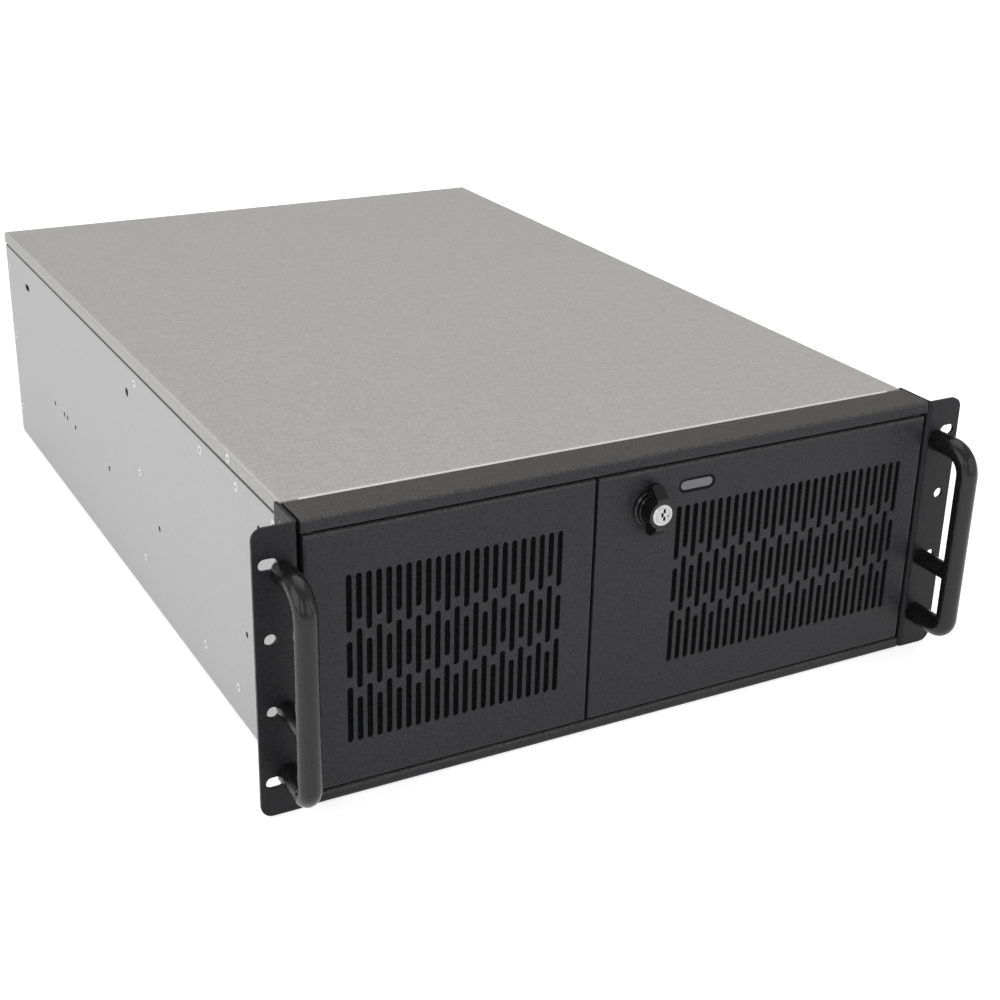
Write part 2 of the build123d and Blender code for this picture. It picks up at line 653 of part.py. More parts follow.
def vent_slots(middle, columns):
    """Three rows of upright slots whose lengths alternate from column to column."""
    slots = []
    for i in range(columns):
        x = middle + (i - (columns - 1) / 2) * VENT_PITCH
        long_middle = VENT_HEIGHT - 2 * SHORT_END - 2 * SLOT_LAND
        middle_slot = long_middle if i % 2 else SHORT_MIDDLE
        end_slot = (VENT_HEIGHT - middle_slot) / 2 - SLOT_LAND
        rows = [(VENT_LOW + end_slot / 2, end_slot), (VENT_LOW + VENT_HEIGHT / 2, middle_slot)]
        rows.append((VENT_HIGH - end_slot / 2, end_slot))
        slots += [vent_slot(x, z, size) for z, size in rows]
    return slots


def door_pan(x, hinge_side):
    """Folded door with four return flanges, rounded front edges and hinge pin holes."""
    pan = block(x, (0, DOOR_DEPTH), (DOOR_LOW, DOOR_HIGH))
    front = pan.faces().sort_by(Axis.Y)[0]
    pan = fillet(front.edges(), DOOR_BEND)
    back = pan.faces().sort_by(Axis.Y)[-1]
    pan = offset(pan, amount=-SHEET, openings=back)
    pins = (DOOR_LOW - 1, DOOR_HIGH + 1)
    return pan - rod_z(hinge_side * HINGE_X, HINGE_BACK, PIN_RADIUS + RUN, pins)


def left_door():
    """Left door with its vent and the return that meets the magnets."""
    door = door_pan(LEFT_DOOR_X, -1) - vent_slots(LEFT_VENT_X, LEFT_COLUMNS)
    edge = LEFT_DOOR_X[1]
    depth = (DOOR_DEPTH - SHEET, DOOR_DEPTH)
    return door + block((edge - CATCH_RETURN, edge - SHEET / 2), depth, (DOOR_LOW + 6, DOOR_HIGH - 6))


def right_door():
    """Right door with its vent, lock hole and indicator window."""
    door = door_pan(RIGHT_DOOR_X, 1) - vent_slots(RIGHT_VENT_X, RIGHT_COLUMNS)
    through = (-1, SHEET + 1)
    door -= rod_y(LOCK_X, LOCK_Z, BARREL_RADIUS + TOUCH, through)
    length = WINDOW_LENGTH + 2 * (BEZEL_RIM + TOUCH)
    width = WINDOW_WIDTH + 2 * (BEZEL_RIM + TOUCH)
    return door - slot_y(WINDOW_X, WINDOW_Z, length, width, through)


def filter_spans(middle, columns, extra=0.0):
    """X and Z spans of the filter pad behind a vent."""
    margin = FILTER_MARGIN + extra
    width = (columns - 1) * VENT_PITCH + SLOT_WIDTH + 2 * margin
    return around(middle, width), (VENT_LOW - margin, VENT_HIGH + margin)


def filter_pad(middle, columns):
    """Foam dust filter against the inside of a door."""
    x, z = filter_spans(middle, columns)
    return block(x, (SHEET, SHEET + FILTER_THICK), z)


def filter_frame(middle, columns):
    """Shallow sheet frame that holds the foam against the door."""
    back = SHEET + FILTER_THICK
    x, z = filter_spans(middle, columns, FRAME_SHEET)
    inner_x, inner_z = filter_spans(middle, columns, TOUCH)
    open_x, open_z = filter_spans(middle, columns, -FRAME_RIM)
    frame = block(x, (SHEET, back + FRAME_SHEET), z) - block(inner_x, (0, back), inner_z)
    frame -= block(open_x, (0, back + FRAME_SHEET + 1), open_z)
    bar = (back, back + FRAME_SHEET)
    frame += block(around(middle, FRAME_BAR), bar, z)
    return frame + block(x, bar, around((z[0] + z[1]) / 2, FRAME_BAR))


def window_bezel():
    """Dark rim round the indicator window, with a flange behind the door."""
    length = WINDOW_LENGTH + 2 * BEZEL_RIM
    width = WINDOW_WIDTH + 2 * BEZEL_RIM
    behind = (SHEET, SHEET + BEZEL_FLANGE)
    rim = slot_y(WINDOW_X, WINDOW_Z, length, width, (BEZEL_SINK, behind[1]))
    flange = slot_y(WINDOW_X, WINDOW_Z, length + FLANGE_LENGTH, width + FLANGE_WIDTH, behind)
    hole = slot_y(WINDOW_X, WINDOW_Z, WINDOW_LENGTH, WINDOW_WIDTH, (-1, behind[1] + 1))
    return rim + flange - hole


def indicator_lens():
    """Clouded window that carries the light of the status lamps."""
    length = WINDOW_LENGTH - 2 * TOUCH
    width = WINDOW_WIDTH - 2 * TOUCH
    back = SHEET + BEZEL_FLANGE
    lens = slot_y(WINDOW_X, WINDOW_Z, length, width, (LENS_SINK, back))
    flange = (back, back + LENS_FLANGE)
    return lens + slot_y(WINDOW_X, WINDOW_Z, length + FLANGE_LENGTH, width + FLANGE_WIDTH, flange)


def lock_barrel():
    """Threaded sleeve through the door with its front ring."""
    barrel = rod_y(LOCK_X, LOCK_Z, BARREL_RADIUS, (-RING_THICK, BARREL_LENGTH))
    ring = rod_y(LOCK_X, LOCK_Z, RING_RADIUS, (-RING_THICK, 0))
    ring = chamfer(ring.faces().sort_by(Axis.Y)[0].edges(), RING_CHAMFER)
    bore = rod_y(LOCK_X, LOCK_Z, SPINDLE_RADIUS + RUN, (-RING_THICK - 1, BARREL_LENGTH + 1))
    return barrel + ring - bore


def lock_nut():
    """Hexagon nut that clamps the barrel to the door."""
    nut = hexagon(NUT_FLATS) - Circle(BARREL_RADIUS + TOUCH)
    return upright(Pos(LOCK_X, LOCK_Z) * nut, (SHEET, SHEET + NUT_THICK))


def lock_knob():
    """Winged knob with the spindle that drives the cam."""
    back = -RING_THICK - KNOB_GAP
    body = rod_y(LOCK_X, LOCK_Z, KNOB_RADIUS, (-KNOB_FRONT, back))
    flange = rod_y(LOCK_X, LOCK_Z, KNOB_FLANGE_RADIUS, (back - KNOB_FLANGE, back))
    body += chamfer(flange.faces().sort_by(Axis.Y)[0].edges(), KNOB_FLANGE_CHAMFER)
    half = WING_LENGTH / 2
    side = Polyline((back, -half), (back, half), (back - WING_FOOT, half), (-KNOB_FRONT, WING_TOP),
                    (-KNOB_FRONT, -WING_TOP), (back - WING_FOOT, -half), close=True)
    slope = extrude(Plane.YZ * make_face(side), WING_WIDTH, both=True)
    outline = RectangleRounded(WING_WIDTH, WING_LENGTH, WING_CORNER)
    wing = upright(outline, (-KNOB_FRONT, back)) & slope
    wing = chamfer(wing.faces().filter_by(Axis.Y).sort_by(Axis.Y)[0].edges(), WING_CHAMFER)
    knob = body + Pos(LOCK_X, 0, LOCK_Z) * wing
    knob -= rod_y(LOCK_X, LOCK_Z, PLUG_RADIUS + RUN, (-KNOB_FRONT - 1, PLUG_DEPTH - KNOB_FRONT))
    knob += rod_y(LOCK_X, LOCK_Z, SPINDLE_RADIUS, (back, CAM_FRONT))
    knob += block(around(LOCK_X, CAM_SQUARE), (CAM_FRONT, CAM_BACK), around(LOCK_Z, CAM_SQUARE))
    hole = (CAM_BACK - CAM_SCREW_LENGTH, CAM_BACK + 1)
    return knob - rod_y(LOCK_X, LOCK_Z, CAM_SCREW_RADIUS, hole)


def lock_plug():
    """Key plug in the knob, with its zigzag keyway and a small index dot."""
    front = -KNOB_FRONT - PLUG_PROUD
    plug = rod_y(LOCK_X, LOCK_Z, PLUG_RADIUS, (front, PLUG_DEPTH - KNOB_FRONT - RUN))
    plug = chamfer(plug.faces().sort_by(Axis.Y)[0].edges(), PLUG_CHAMFER)
    deep = (front - 1, front + KEYWAY_DEPTH)
    for x, z in KEYWAY_STEPS:
        plug -= block(around(LOCK_X + x, KEYWAY_WIDTH), deep, around(LOCK_Z + z, KEYWAY_STEP))
    return plug - rod_y(LOCK_X + DOT[0], LOCK_Z + DOT[1], DOT_RADIUS, (front - 1, front + DOT_DEPTH))


def lock_cam():
    """Flat cam, hanging down while unlocked."""
    foot = Circle(CAM_WIDTH / 2 + CAM_FOOT)
    tongue = Pos(0, -CAM_LENGTH / 2) * RectangleRounded(CAM_WIDTH, CAM_LENGTH, CAM_CORNER)
    hole = Rectangle(CAM_SQUARE + 2 * TOUCH, CAM_SQUARE + 2 * TOUCH)
    return upright(Pos(LOCK_X, LOCK_Z) * (foot + tongue - hole), (CAM_FRONT, CAM_BACK))


def cam_screw():
    """Screw that holds the cam on the spindle."""
    head = rod_y(LOCK_X, LOCK_Z, CAM_SCREW_HEAD, (CAM_BACK, CAM_BACK + CAM_SCREW_HEAD_THICK))
    start = CAM_BACK - CAM_SCREW_LENGTH + CAM_SCREW_END_GAP
    return head + rod_y(LOCK_X, LOCK_Z, CAM_SCREW_RADIUS, (start, CAM_BACK))


def rack_holes():
    """Rack slots and holes of one ear as cutting solids, at the rack's hole spacing."""
    x = RACK_WIDTH / 2 - EAR_HOLE_INSET
    deep = (-1, EAR_SHEET + 1)
    outer = 1.5 * RACK_UNIT
    inner = 0.5 * RACK_UNIT
    cuts = [slot_y(x, EAR_CENTRE_Z + z, RACK_SLOT, 2 * RACK_HOLE_RADIUS, deep) for z in (-outer, outer)]
    return cuts + [rod_y(x, EAR_CENTRE_Z + z, RACK_HOLE_RADIUS, deep) for z in (-inner, inner)]


def right_ear():
    """Angle bracket that carries the case in the rack, with its handle's screw holes."""
    middle = EAR_SHEET / 2
    leg = SIDE_OUT + middle
    path = [(RACK_WIDTH / 2, middle), (leg, middle), (leg, EAR_LEG)]
    height = PANEL_HEIGHT - 2 * EAR_TRIM
    ear = Pos(0, 0, EAR_TRIM) * extrude(folded(path, EAR_SHEET, EAR_BEND), height)
    corners = ear.edges().filter_by(Axis.Y).group_by(Axis.X)[-1]
    ear = fillet(corners, EAR_CORNER)
    ear -= rack_holes()
    for z in (HANDLE_TOP, HANDLE_MIDDLE, HANDLE_BOTTOM):
        ear -= rod_y(HANDLE_X, z, HANDLE_SCREW_RADIUS + TOUCH, (-1, EAR_SHEET + 1))
    return ear - [ear_screw(z, TOUCH) for z in EAR_SCREW_Z]


def ear_screw(z, clearance=0.0):
    """Countersunk screw through the ear's leg, the side wall and the front box."""
    outside = SIDE_OUT + EAR_SHEET
    sink = EAR_SCREW_HEAD - EAR_SCREW_RADIUS
    cone = Cone(EAR_SCREW_RADIUS + clearance, EAR_SCREW_HEAD + clearance, sink)
    head = Pos(outside - sink / 2, EAR_SCREW_Y, z) * Rot(0, 90, 0) * cone
    inside = SIDE_IN - SHEET - EAR_SCREW_TAIL
    return head + rod_x(EAR_SCREW_Y, z, EAR_SCREW_RADIUS + clearance, (inside, outside - sink))


def ear_screws():
    """All the screws that fix the ears."""
    right = [ear_screw(z) for z in EAR_SCREW_Z]
    return group(right + [mirrored(screw) for screw in right])


def right_handle():
    """Round tube handle with a bent top, a tighter bottom bend and a straight strut."""
    path = FilletPolyline((HANDLE_X, 0, HANDLE_TOP), (HANDLE_X, -HANDLE_REACH, HANDLE_TOP),
                          (HANDLE_X, -HANDLE_REACH, HANDLE_BOTTOM), (HANDLE_X, 0, HANDLE_BOTTOM),
                          radius=[TOP_BEND, BOTTOM_BEND])
    start = Plane(origin=(HANDLE_X, 0, HANDLE_TOP), z_dir=(0, -1, 0))
    handle = sweep(start * Circle(TUBE_RADIUS), path=path)
    handle += rod_y(HANDLE_X, HANDLE_MIDDLE, STRUT_RADIUS, (-HANDLE_REACH, 0))
    for z in (HANDLE_TOP, HANDLE_MIDDLE, HANDLE_BOTTOM):
        handle -= rod_y(HANDLE_X, z, HANDLE_SCREW_RADIUS, (-HANDLE_SCREW_DEPTH, 1))
    return handle


def handle_screws():
    """Screws from behind the ears into the handles."""
    screws = []
    back = EAR_SHEET + HANDLE_SCREW_HEAD_THICK
    for z in (HANDLE_TOP, HANDLE_MIDDLE, HANDLE_BOTTOM):
        shank = rod_y(HANDLE_X, z, HANDLE_SCREW_RADIUS, (1 - HANDLE_SCREW_DEPTH, EAR_SHEET))
        screws.append(shank + rod_y(HANDLE_X, z, HANDLE_SCREW_HEAD, (EAR_SHEET, back)))
    return group(screws + [mirrored(screw) for screw in screws])


def rivet(y, z, inside):
    """Rivet through the right side wall, closed at the given inner face."""
    shank = rod_x(y, z, RIVET_RADIUS, (inside - RIVET_HEAD_THICK, SIDE_OUT + RIVET_HEAD_THICK))
    outer = rod_x(y, z, RIVET_HEAD, (SIDE_OUT, SIDE_OUT + RIVET_HEAD_THICK))
    outer = chamfer(outer.faces().sort_by(Axis.X)[-1].edges(), RIVET_HEAD_THICK / 2)
    inner = rod_x(y, z, RIVET_TAIL, (inside - RIVET_HEAD_THICK, inside))
    return shank + outer + inner


def side_rivets():
    """All the rivets that join brackets to the side walls and the hooks to the cover."""
    inside = SIDE_IN - SHEET
    right = [rivet(y, z, inside) for y, z in rivet_places(1)]
    right.append(rivet(*HOOK_RIVET, inside))
    left = [rivet(y, z, inside) for y, z in rivet_places(-1)]
    left.append(rivet(*HOOK_RIVET, inside))
    return group(right + [mirrored(item) for item in left])


def cover_hooks():
    """Plates riveted inside the cover's flanges that reach below the tray's shelves."""
    x = (SIDE_IN - SHEET, SIDE_IN)
    hook = block(x, around(HOOK_Y, HOOK_LENGTH), (HOOK_LOW, PANEL_HEIGHT - COVER_BEND))
    hook -= rod_x(*HOOK_RIVET, RIVET_RADIUS + TOUCH, (x[0] - 1, x[1] + 1))
    return group([hook, mirrored(hook)])


def top_cover():
    """Removable cover with folded side, front and rear flanges."""
    y = (COVER_FRONT, BODY_DEPTH)
    shell = block((-SIDE_OUT, SIDE_OUT), y, (COVER_LOW, PANEL_HEIGHT))
    rims = shell.edges().filter_by(Axis.Y).group_by(Axis.Z)[-1]
    rims += shell.edges().filter_by(Axis.X).group_by(Axis.Z)[-1]
    shell = fillet(rims, COVER_BEND)
    bottom = shell.faces().sort_by(Axis.Z)[0]
    cover = offset(shell, amount=-SHEET, openings=bottom)
    for side in (-1, 1):
        x = sorted((side * COVER_LIP_HALF, side * (SIDE_OUT + 1)))
        cover -= block(x, (y[0] - 1, y[0] + SHEET), (COVER_LOW - 1, PANEL_HEIGHT + 1))
        cover -= rod_x(*HOOK_RIVET, RIVET_RADIUS + TOUCH, (side * (SIDE_IN - 1), side * (SIDE_OUT + 1)))
    lip_z = (PANEL_HEIGHT - COVER_LIP_DROP, COVER_LOW)
    cover += block((-COVER_LIP_HALF, COVER_LIP_HALF), (y[0], y[0] + SHEET), lip_z)
    rear = (REAR_FACE, BODY_DEPTH)
    cover += block((-SIDE_IN, SIDE_IN), rear, (PANEL_HEIGHT - COVER_REAR_DROP, COVER_LOW))
    for x in COVER_SCREW_X:
        cover -= rod_y(x, cover_screw_z(), COVER_SCREW_RADIUS + TOUCH, (REAR_FACE - 1, BODY_DEPTH + 1))
    return cover


def cover_screw_z():
    """Height of the screws in the cover's rear flange."""
    return PANEL_HEIGHT - COVER_REAR_DROP + COVER_SCREW_HEAD


def cover_screws():
    """Screws through the cover's rear flange into the rear panel."""
    screws = []
    for x in COVER_SCREW_X:
        z = cover_screw_z()
        shank = rod_y(x, z, COVER_SCREW_RADIUS, (BODY_DEPTH - COVER_SCREW_LENGTH, BODY_DEPTH))
        head = rod_y(x, z, COVER_SCREW_HEAD, (BODY_DEPTH, BODY_DEPTH + COVER_SCREW_HEAD_THICK))
        head = chamfer(head.faces().sort_by(Axis.Y)[-1].edges(), COVER_SCREW_HEAD_THICK / 3)
        screws.append(shank + head)
    return group(screws)


def drive_cage():
    """Three-bay drive cage with bay shelves, hung from the left side wall by flanges."""
    x = around(CAGE_X, BAY_WIDTH)
    y = (FRONT_BOX, FRONT_BOX + CAGE_DEPTH)
    top = CAGE_TOP
    left_wall = (x[0] - SHEET, x[0])
    right_wall = (x[1], x[1] + SHEET)
    cage = block(left_wall, y, (BAY_LOW - SHEET, top)) + block(right_wall, y, (SHEET, top))
    cage += block((-SIDE_IN, right_wall[1]), y, (top, top + SHEET))
    cage += block((-SIDE_IN, x[0]), y, (BAY_LOW - SHEET, BAY_LOW))
    hang = (-SIDE_IN, SHEET - SIDE_IN)
    cage += block(hang, y, (top, top + CAGE_FLANGE + SHEET))
    cage += block(hang, y, (BAY_LOW, BAY_LOW + CAGE_FLANGE))
    cage += block((x[1], x[1] + CAGE_FOOT), y, (SHEET, 2 * SHEET))
    for i in range(BAY_COUNT):
        z = BAY_LOW + i * BAY_HEIGHT
        shelf = (z, z + SHEET)
        length = (y[0] + BAY_SHELF_INSET, y[1] - BAY_SHELF_INSET)
        cage += block((x[0], x[0] + BAY_SHELF), length, shelf)
        cage += block((x[1] - BAY_SHELF, x[1]), length, shelf)
        slot = around(z + CAGE_SLOT_UP, CAGE_SLOT_HEIGHT)
        for start in CAGE_SLOT_Y:
            holes = (y[0] + start, y[0] + start + CAGE_SLOT_LENGTH)
            cage -= block((x[0] - 2, x[0] + 1), holes, slot)
            cage -= block((x[1] - 1, x[1] + 2), holes, slot)
    span = (-SIDE_IN - 1, SHEET - SIDE_IN + 1)
    return cage - [rod_x(i, j, RIVET_RADIUS + TOUCH, span) for i, j in cage_rivets()]


def bay_cover(index):
    """Blank that closes one drive bay, with two spring arms."""
    z = BAY_LOW + index * BAY_HEIGHT
    width = BAY_WIDTH - 2 * BAY_FIT
    height = (z + BAY_FIT, z + BAY_HEIGHT - BAY_FIT)
    front = WALL_FRONT - BLANK_LIP
    plate = block(around(CAGE_X, width), (front, front + BLANK_THICK), height)
    plate = fillet(plate.faces().sort_by(Axis.Y)[0].edges(), BLANK_ROUND)
    arm_z = around(z + BAY_HEIGHT / 2 + BLANK_ARM_UP, BLANK_ARM_WIDTH)
    for side in (-1, 1):
        edge = CAGE_X + side * width / 2
        x = sorted((edge, edge - side * BLANK_ARM_THICK))
        plate += block(x, (front + BLANK_THICK / 2, front + BLANK_ARM), arm_z)
    return plate


def fan_frame(x):
    """Fan housing with its round duct, motor plate and three struts."""
    y = (FRONT_BOX, FRONT_BOX + FAN_DEPTH)
    body = RectangleRounded(FAN_SIZE, FAN_SIZE, FAN_CORNER) - Circle(FAN_BORE)
    frame = upright(Pos(x, FAN_Z) * body, y)
    waist = (y[0] + FAN_RIM, y[1] - FAN_RIM)
    ring = Rectangle(FAN_SIZE + 1, FAN_SIZE + 1) - Circle(FAN_BORE + FAN_WALL)
    frame -= upright(Pos(x, FAN_Z) * ring, waist)
    motor = (y[1] - MOTOR_DEPTH, y[1])
    plate = Circle(MOTOR_RADIUS)
    for turn in (90, 210, 330):
        plate += Rot(0, 0, turn) * Pos((FAN_BORE + FAN_WALL) / 2, 0) * Rectangle(FAN_BORE, FAN_STRUT)
    plate -= Circle(SHAFT_RADIUS + RUN)
    frame += upright(Pos(x, FAN_Z) * plate, motor)
    return frame - [rod_y(i, j, FAN_HOLE_RADIUS, (y[0] - 1, y[1] + 1)) for i, j in fan_corners(x, FAN_Z)]


def fan_rotor(x):
    """Hub with pitched blades, on a shaft that runs in the motor plate."""
    front = FRONT_BOX + ROTOR_SINK
    back = FRONT_BOX + FAN_DEPTH - MOTOR_DEPTH
    hub_back = front + FAN_HUB_DEPTH
    hub = rod_y(0, 0, FAN_HUB, (front, hub_back))
    hub = fillet(hub.faces().sort_by(Axis.Y)[0].edges(), HUB_ROUND)
    length = FAN_TIP - FAN_HUB + BLADE_ROOT
    blade = Pos(FAN_TIP - length / 2, 0, 0) * Box(length, BLADE_THICK, BLADE_CHORD)
    blade = Rot(BLADE_TURN, 0, 0) * blade
    blade = Pos(0, (front + hub_back) / 2, 0) * blade
    rim = rod_y(0, 0, FAN_TIP, (front + BLADE_TRIM, hub_back - BLADE_TRIM))
    blade = blade & rim
    rotor = hub
    for i in range(FAN_BLADES):
        rotor += Rot(0, i * 360 / FAN_BLADES, 0) * blade
    rotor += rod_y(0, 0, SHAFT_RADIUS, (hub_back, back + MOTOR_DEPTH))
    return Pos(x, 0, FAN_Z) * rotor


def fan_screws():
    """Screws through the inner wall into the fan frames."""
    screws = []
    for x in FAN_X:
        for i, j in fan_corners(x, FAN_Z):
            head = rod_y(i, j, FAN_SCREW_HEAD, (WALL_FRONT - FAN_SCREW_HEAD_THICK, WALL_FRONT))
            shank = rod_y(i, j, FAN_HOLE_RADIUS - TOUCH, (WALL_FRONT, WALL_FRONT + FAN_SCREW_LENGTH))
            screws.append(head + shank)
    return group(screws)


def control_board():
    """Circuit board behind the control strip."""
    back = BOARD_FRONT + BOARD_THICK
    return block(CONTROL_X, (BOARD_FRONT, back), around(CONTROL_Z, BOARD_HEIGHT))


def board_spacers():
    """Posts between the inner wall and the control board."""
    return group([rod_y(x, CONTROL_Z, SPACER_RADIUS, (FRONT_BOX, BOARD_FRONT)) for x in SPACER_X])


def status_leds():
    """Two lamps behind the indicator window."""
    lamps = []
    for x in LED_X:
        lamp = rod_y(x, CONTROL_Z, LED_RADIUS, (WALL_FRONT - LED_PROUD, BOARD_FRONT))
        lamps.append(chamfer(lamp.faces().sort_by(Axis.Y)[0].edges(), LED_RADIUS / 2))
    return group(lamps)


def usb_sockets():
    """Two sockets on the control board, each with its tongue."""
    sockets = []
    front = WALL_FRONT - USB_PROUD
    back = BOARD_FRONT - USB_BACK
    inner_z = around(CONTROL_Z, USB_HEIGHT - 2 * USB_SHEET)
    tongue_low = CONTROL_Z + USB_TONGUE_LOW
    tongue_z = (tongue_low, tongue_low + USB_TONGUE_THICK)
    for x in USB_X:
        shell = block(around(x, USB_WIDTH), (front, BOARD_FRONT), around(CONTROL_Z, USB_HEIGHT))
        shell -= block(around(x, USB_WIDTH - 2 * USB_SHEET), (front - 1, back), inner_z)
        tongue_x = around(x, USB_WIDTH - 2 * USB_TONGUE_INSET)
        sockets.append(shell + block(tongue_x, (front + 1, back + 1), tongue_z))
    return group(sockets)


def switch_bodies():
    """Two sealed push switches on the control board."""
    y = (BOARD_FRONT - SWITCH_DEPTH, BOARD_FRONT)
    z = around(CONTROL_Z, SWITCH_SIZE)
    return group([block(around(x, SWITCH_SIZE), y, z) for x in (POWER_X, RESET_X)])


def push_button(x, radius):
    """Button cap with a flange that keeps it behind the inner wall."""
    front = WALL_FRONT - BUTTON_PROUD
    flange = FRONT_BOX + BUTTON_CLEAR
    cap = rod_y(x, CONTROL_Z, radius, (front, flange + BUTTON_FLANGE_THICK))
    cap = chamfer(cap.faces().sort_by(Axis.Y)[0].edges(), BUTTON_CHAMFER)
    cap += rod_y(x, CONTROL_Z, radius + BUTTON_FLANGE, (flange, flange + BUTTON_FLANGE_THICK))
    stem = BOARD_FRONT - SWITCH_DEPTH - BUTTON_TRAVEL - BUTTON_CLEAR
    return cap + rod_y(x, CONTROL_Z, STEM_RADIUS, (flange, stem))


def right_brace():
    """Riveted upright that carries one end of the card bar."""
    y = around(BRACE_Y, BRACE_WIDTH)
    brace = block((SIDE_IN - SHEET, SIDE_IN), y, (BRACE_LOW, BRACE_TOP))
    brace += block((SIDE_IN - BRACE_SHELF, SIDE_IN), y, (BRACE_SHELF_Z - SHEET, BRACE_SHELF_Z))
    brace += block((SIDE_IN - BRACE_WEB, SIDE_IN), (y[0], y[0] + SHEET), (BRACE_LOW, BRACE_SHELF_Z))
    brace -= [rod_x(BRACE_Y, z, RIVET_RADIUS + TOUCH, (SIDE_IN - 3, SIDE_IN + 1)) for z in BRACE_RIVET_Z]
    x = SIDE_IN - BRACE_SHELF / 2
    return brace - rod_z(x, BRACE_Y, BAR_SCREW_RADIUS + TOUCH, (BRACE_SHELF_Z - 3, BRACE_SHELF_Z + 1))


def hold_down_bar():
    """Channel across the case that keeps the expansion cards down."""
    half = (BRACE_WIDTH - SHEET) / 2
    base = BRACE_SHELF_Z + SHEET / 2
    top = BRACE_SHELF_Z + BAR_HEIGHT
    path = [(BRACE_Y - half, top), (BRACE_Y - half, base), (BRACE_Y + half, base), (BRACE_Y + half, top)]
    reach = SIDE_IN - SHEET - BAR_END_GAP
    bar = extrude(Plane.YZ.offset(-reach) * folded(path, SHEET), 2 * reach)
    x = SIDE_IN - BRACE_SHELF / 2
    for side in (-x, x):
        bar -= rod_z(side, BRACE_Y, BAR_SCREW_RADIUS + TOUCH, (BRACE_SHELF_Z - 1, BRACE_SHELF_Z + 3))
    return bar


def bar_screws():
    """Screws that fix the card bar to its uprights."""
    screws = []
    seat = BRACE_SHELF_Z + SHEET
    x = SIDE_IN - BRACE_SHELF / 2
    for side in (-x, x):
        head = rod_z(side, BRACE_Y, BAR_SCREW_HEAD, (seat, seat + BAR_SCREW_HEAD_THICK))
        screws.append(head + rod_z(side, BRACE_Y, BAR_SCREW_RADIUS, (seat - BAR_SCREW_LENGTH, seat)))
    return group(screws)


def psu_holes():
    """Screw holes round the power supply's opening, at the standard places."""
    left = PSU_X - PSU_WIDTH / 2
    right = PSU_X + PSU_WIDTH / 2
    top = PSU_LOW + PSU_HEIGHT
    return [(right - PSU_EDGE, PSU_LOW + PSU_EDGE), (right - PSU_EDGE, top - PSU_EDGE),
            (left + PSU_INNER, PSU_LOW + PSU_EDGE), (left + PSU_EDGE, top - PSU_EDGE)]


def rear_panel():
    """Rear wall with board, power supply, fan and expansion slot openings."""
    x = (-SIDE_IN, SIDE_IN)
    z = (SHEET, TRAY_HEIGHT - SHEET - TOUCH)
    through = (REAR_INSIDE - 1, REAR_FACE + 1)
    panel = block(x, (REAR_INSIDE, REAR_FACE), z)
    tongue = SIDE_OUT - TRAY_SHELF - SHEET - SHELF_GAP
    tongue_z = (z[0], PANEL_HEIGHT - SHEET - COVER_CLEAR)
    top = block((-tongue, tongue), (REAR_INSIDE, REAR_FACE), tongue_z)
    rear_edge = top.edges().filter_by(Axis.X).group_by(Axis.Z)[-1].sort_by(Axis.Y)[-1]
    panel += chamfer(rear_edge, COVER_BEND - SHEET - COVER_CLEAR + TOUCH)
    for side in (-1, 1):
        wall = sorted((side * SIDE_IN, side * (SIDE_IN - SHEET)))
        panel += block(wall, (REAR_FACE - REAR_RETURN, REAR_FACE), z)
        corner = sorted((side * SIDE_IN, side * (SIDE_IN - BEND - TOUCH)))
        for low in (z[0], z[1] - BEND):
            panel -= block(corner, (REAR_FACE - REAR_RETURN, REAR_FACE), (low, low + BEND + TOUCH))
    recess_x = (SLOT_X[-1] - SLOT_PITCH / 2, SLOT_X[0] + SLOT_PITCH / 2)
    recess_z = (SLOT_LOW - RECESS_MARGIN, SLOT_LEDGE_Z)
    outer_x = (recess_x[0] - SHEET, recess_x[1] + SHEET)
    panel += block(outer_x, (RECESS_FACE - SHEET, REAR_FACE), (recess_z[0] - SHEET, recess_z[1]))
    panel -= block(recess_x, (RECESS_FACE, REAR_FACE + 1), (recess_z[0], recess_z[1] - SHEET))
    slot_z = (SLOT_LOW, SLOT_LEDGE_Z - SLOT_TOP_BAR)
    for i in SLOT_X:
        panel -= block(around(i, SLOT_OPENING), (RECESS_FACE - 3, RECESS_FACE + 1), slot_z)
        panel -= rod_z(i, card_screw_y(), CARD_SCREW_RADIUS + TOUCH, (SLOT_LEDGE_Z - 3, SLOT_LEDGE_Z + 1))
    panel -= block(around(IO_X, IO_WIDTH), through, (IO_LOW, IO_LOW + IO_HEIGHT))
    opening = PSU_WIDTH - 2 * PSU_FRAME
    panel -= block(around(PSU_X, opening), through, (PSU_LOW + PSU_INNER, PSU_LOW + PSU_HEIGHT - PSU_FRAME))
    panel -= [rod_y(i, j, PSU_HOLE_RADIUS, through) for i, j in psu_holes()]
    for i in REAR_VENT_X:
        panel -= fan_opening(i, REAR_VENT_Z, through)
        panel -= [rod_y(a, b, FAN_HOLE_RADIUS, through) for a, b in fan_corners(i, REAR_VENT_Z)]
    for i in COVER_SCREW_X:
        panel -= rod_y(i, cover_screw_z(), COVER_SCREW_RADIUS + TOUCH, through)
    for side in (-1, 1):
        span = (side * (SIDE_IN - 3), side * (SIDE_IN + 1))
        panel -= [rod_x(REAR_RIVET_Y, j, RIVET_RADIUS + TOUCH, span) for j in REAR_RIVET_Z]
    return panel


def card_screw_y():
    """Distance of the slot screws behind the front plane."""
    return RECESS_FACE + SLOT_RECESS / 2 - SHEET / 2


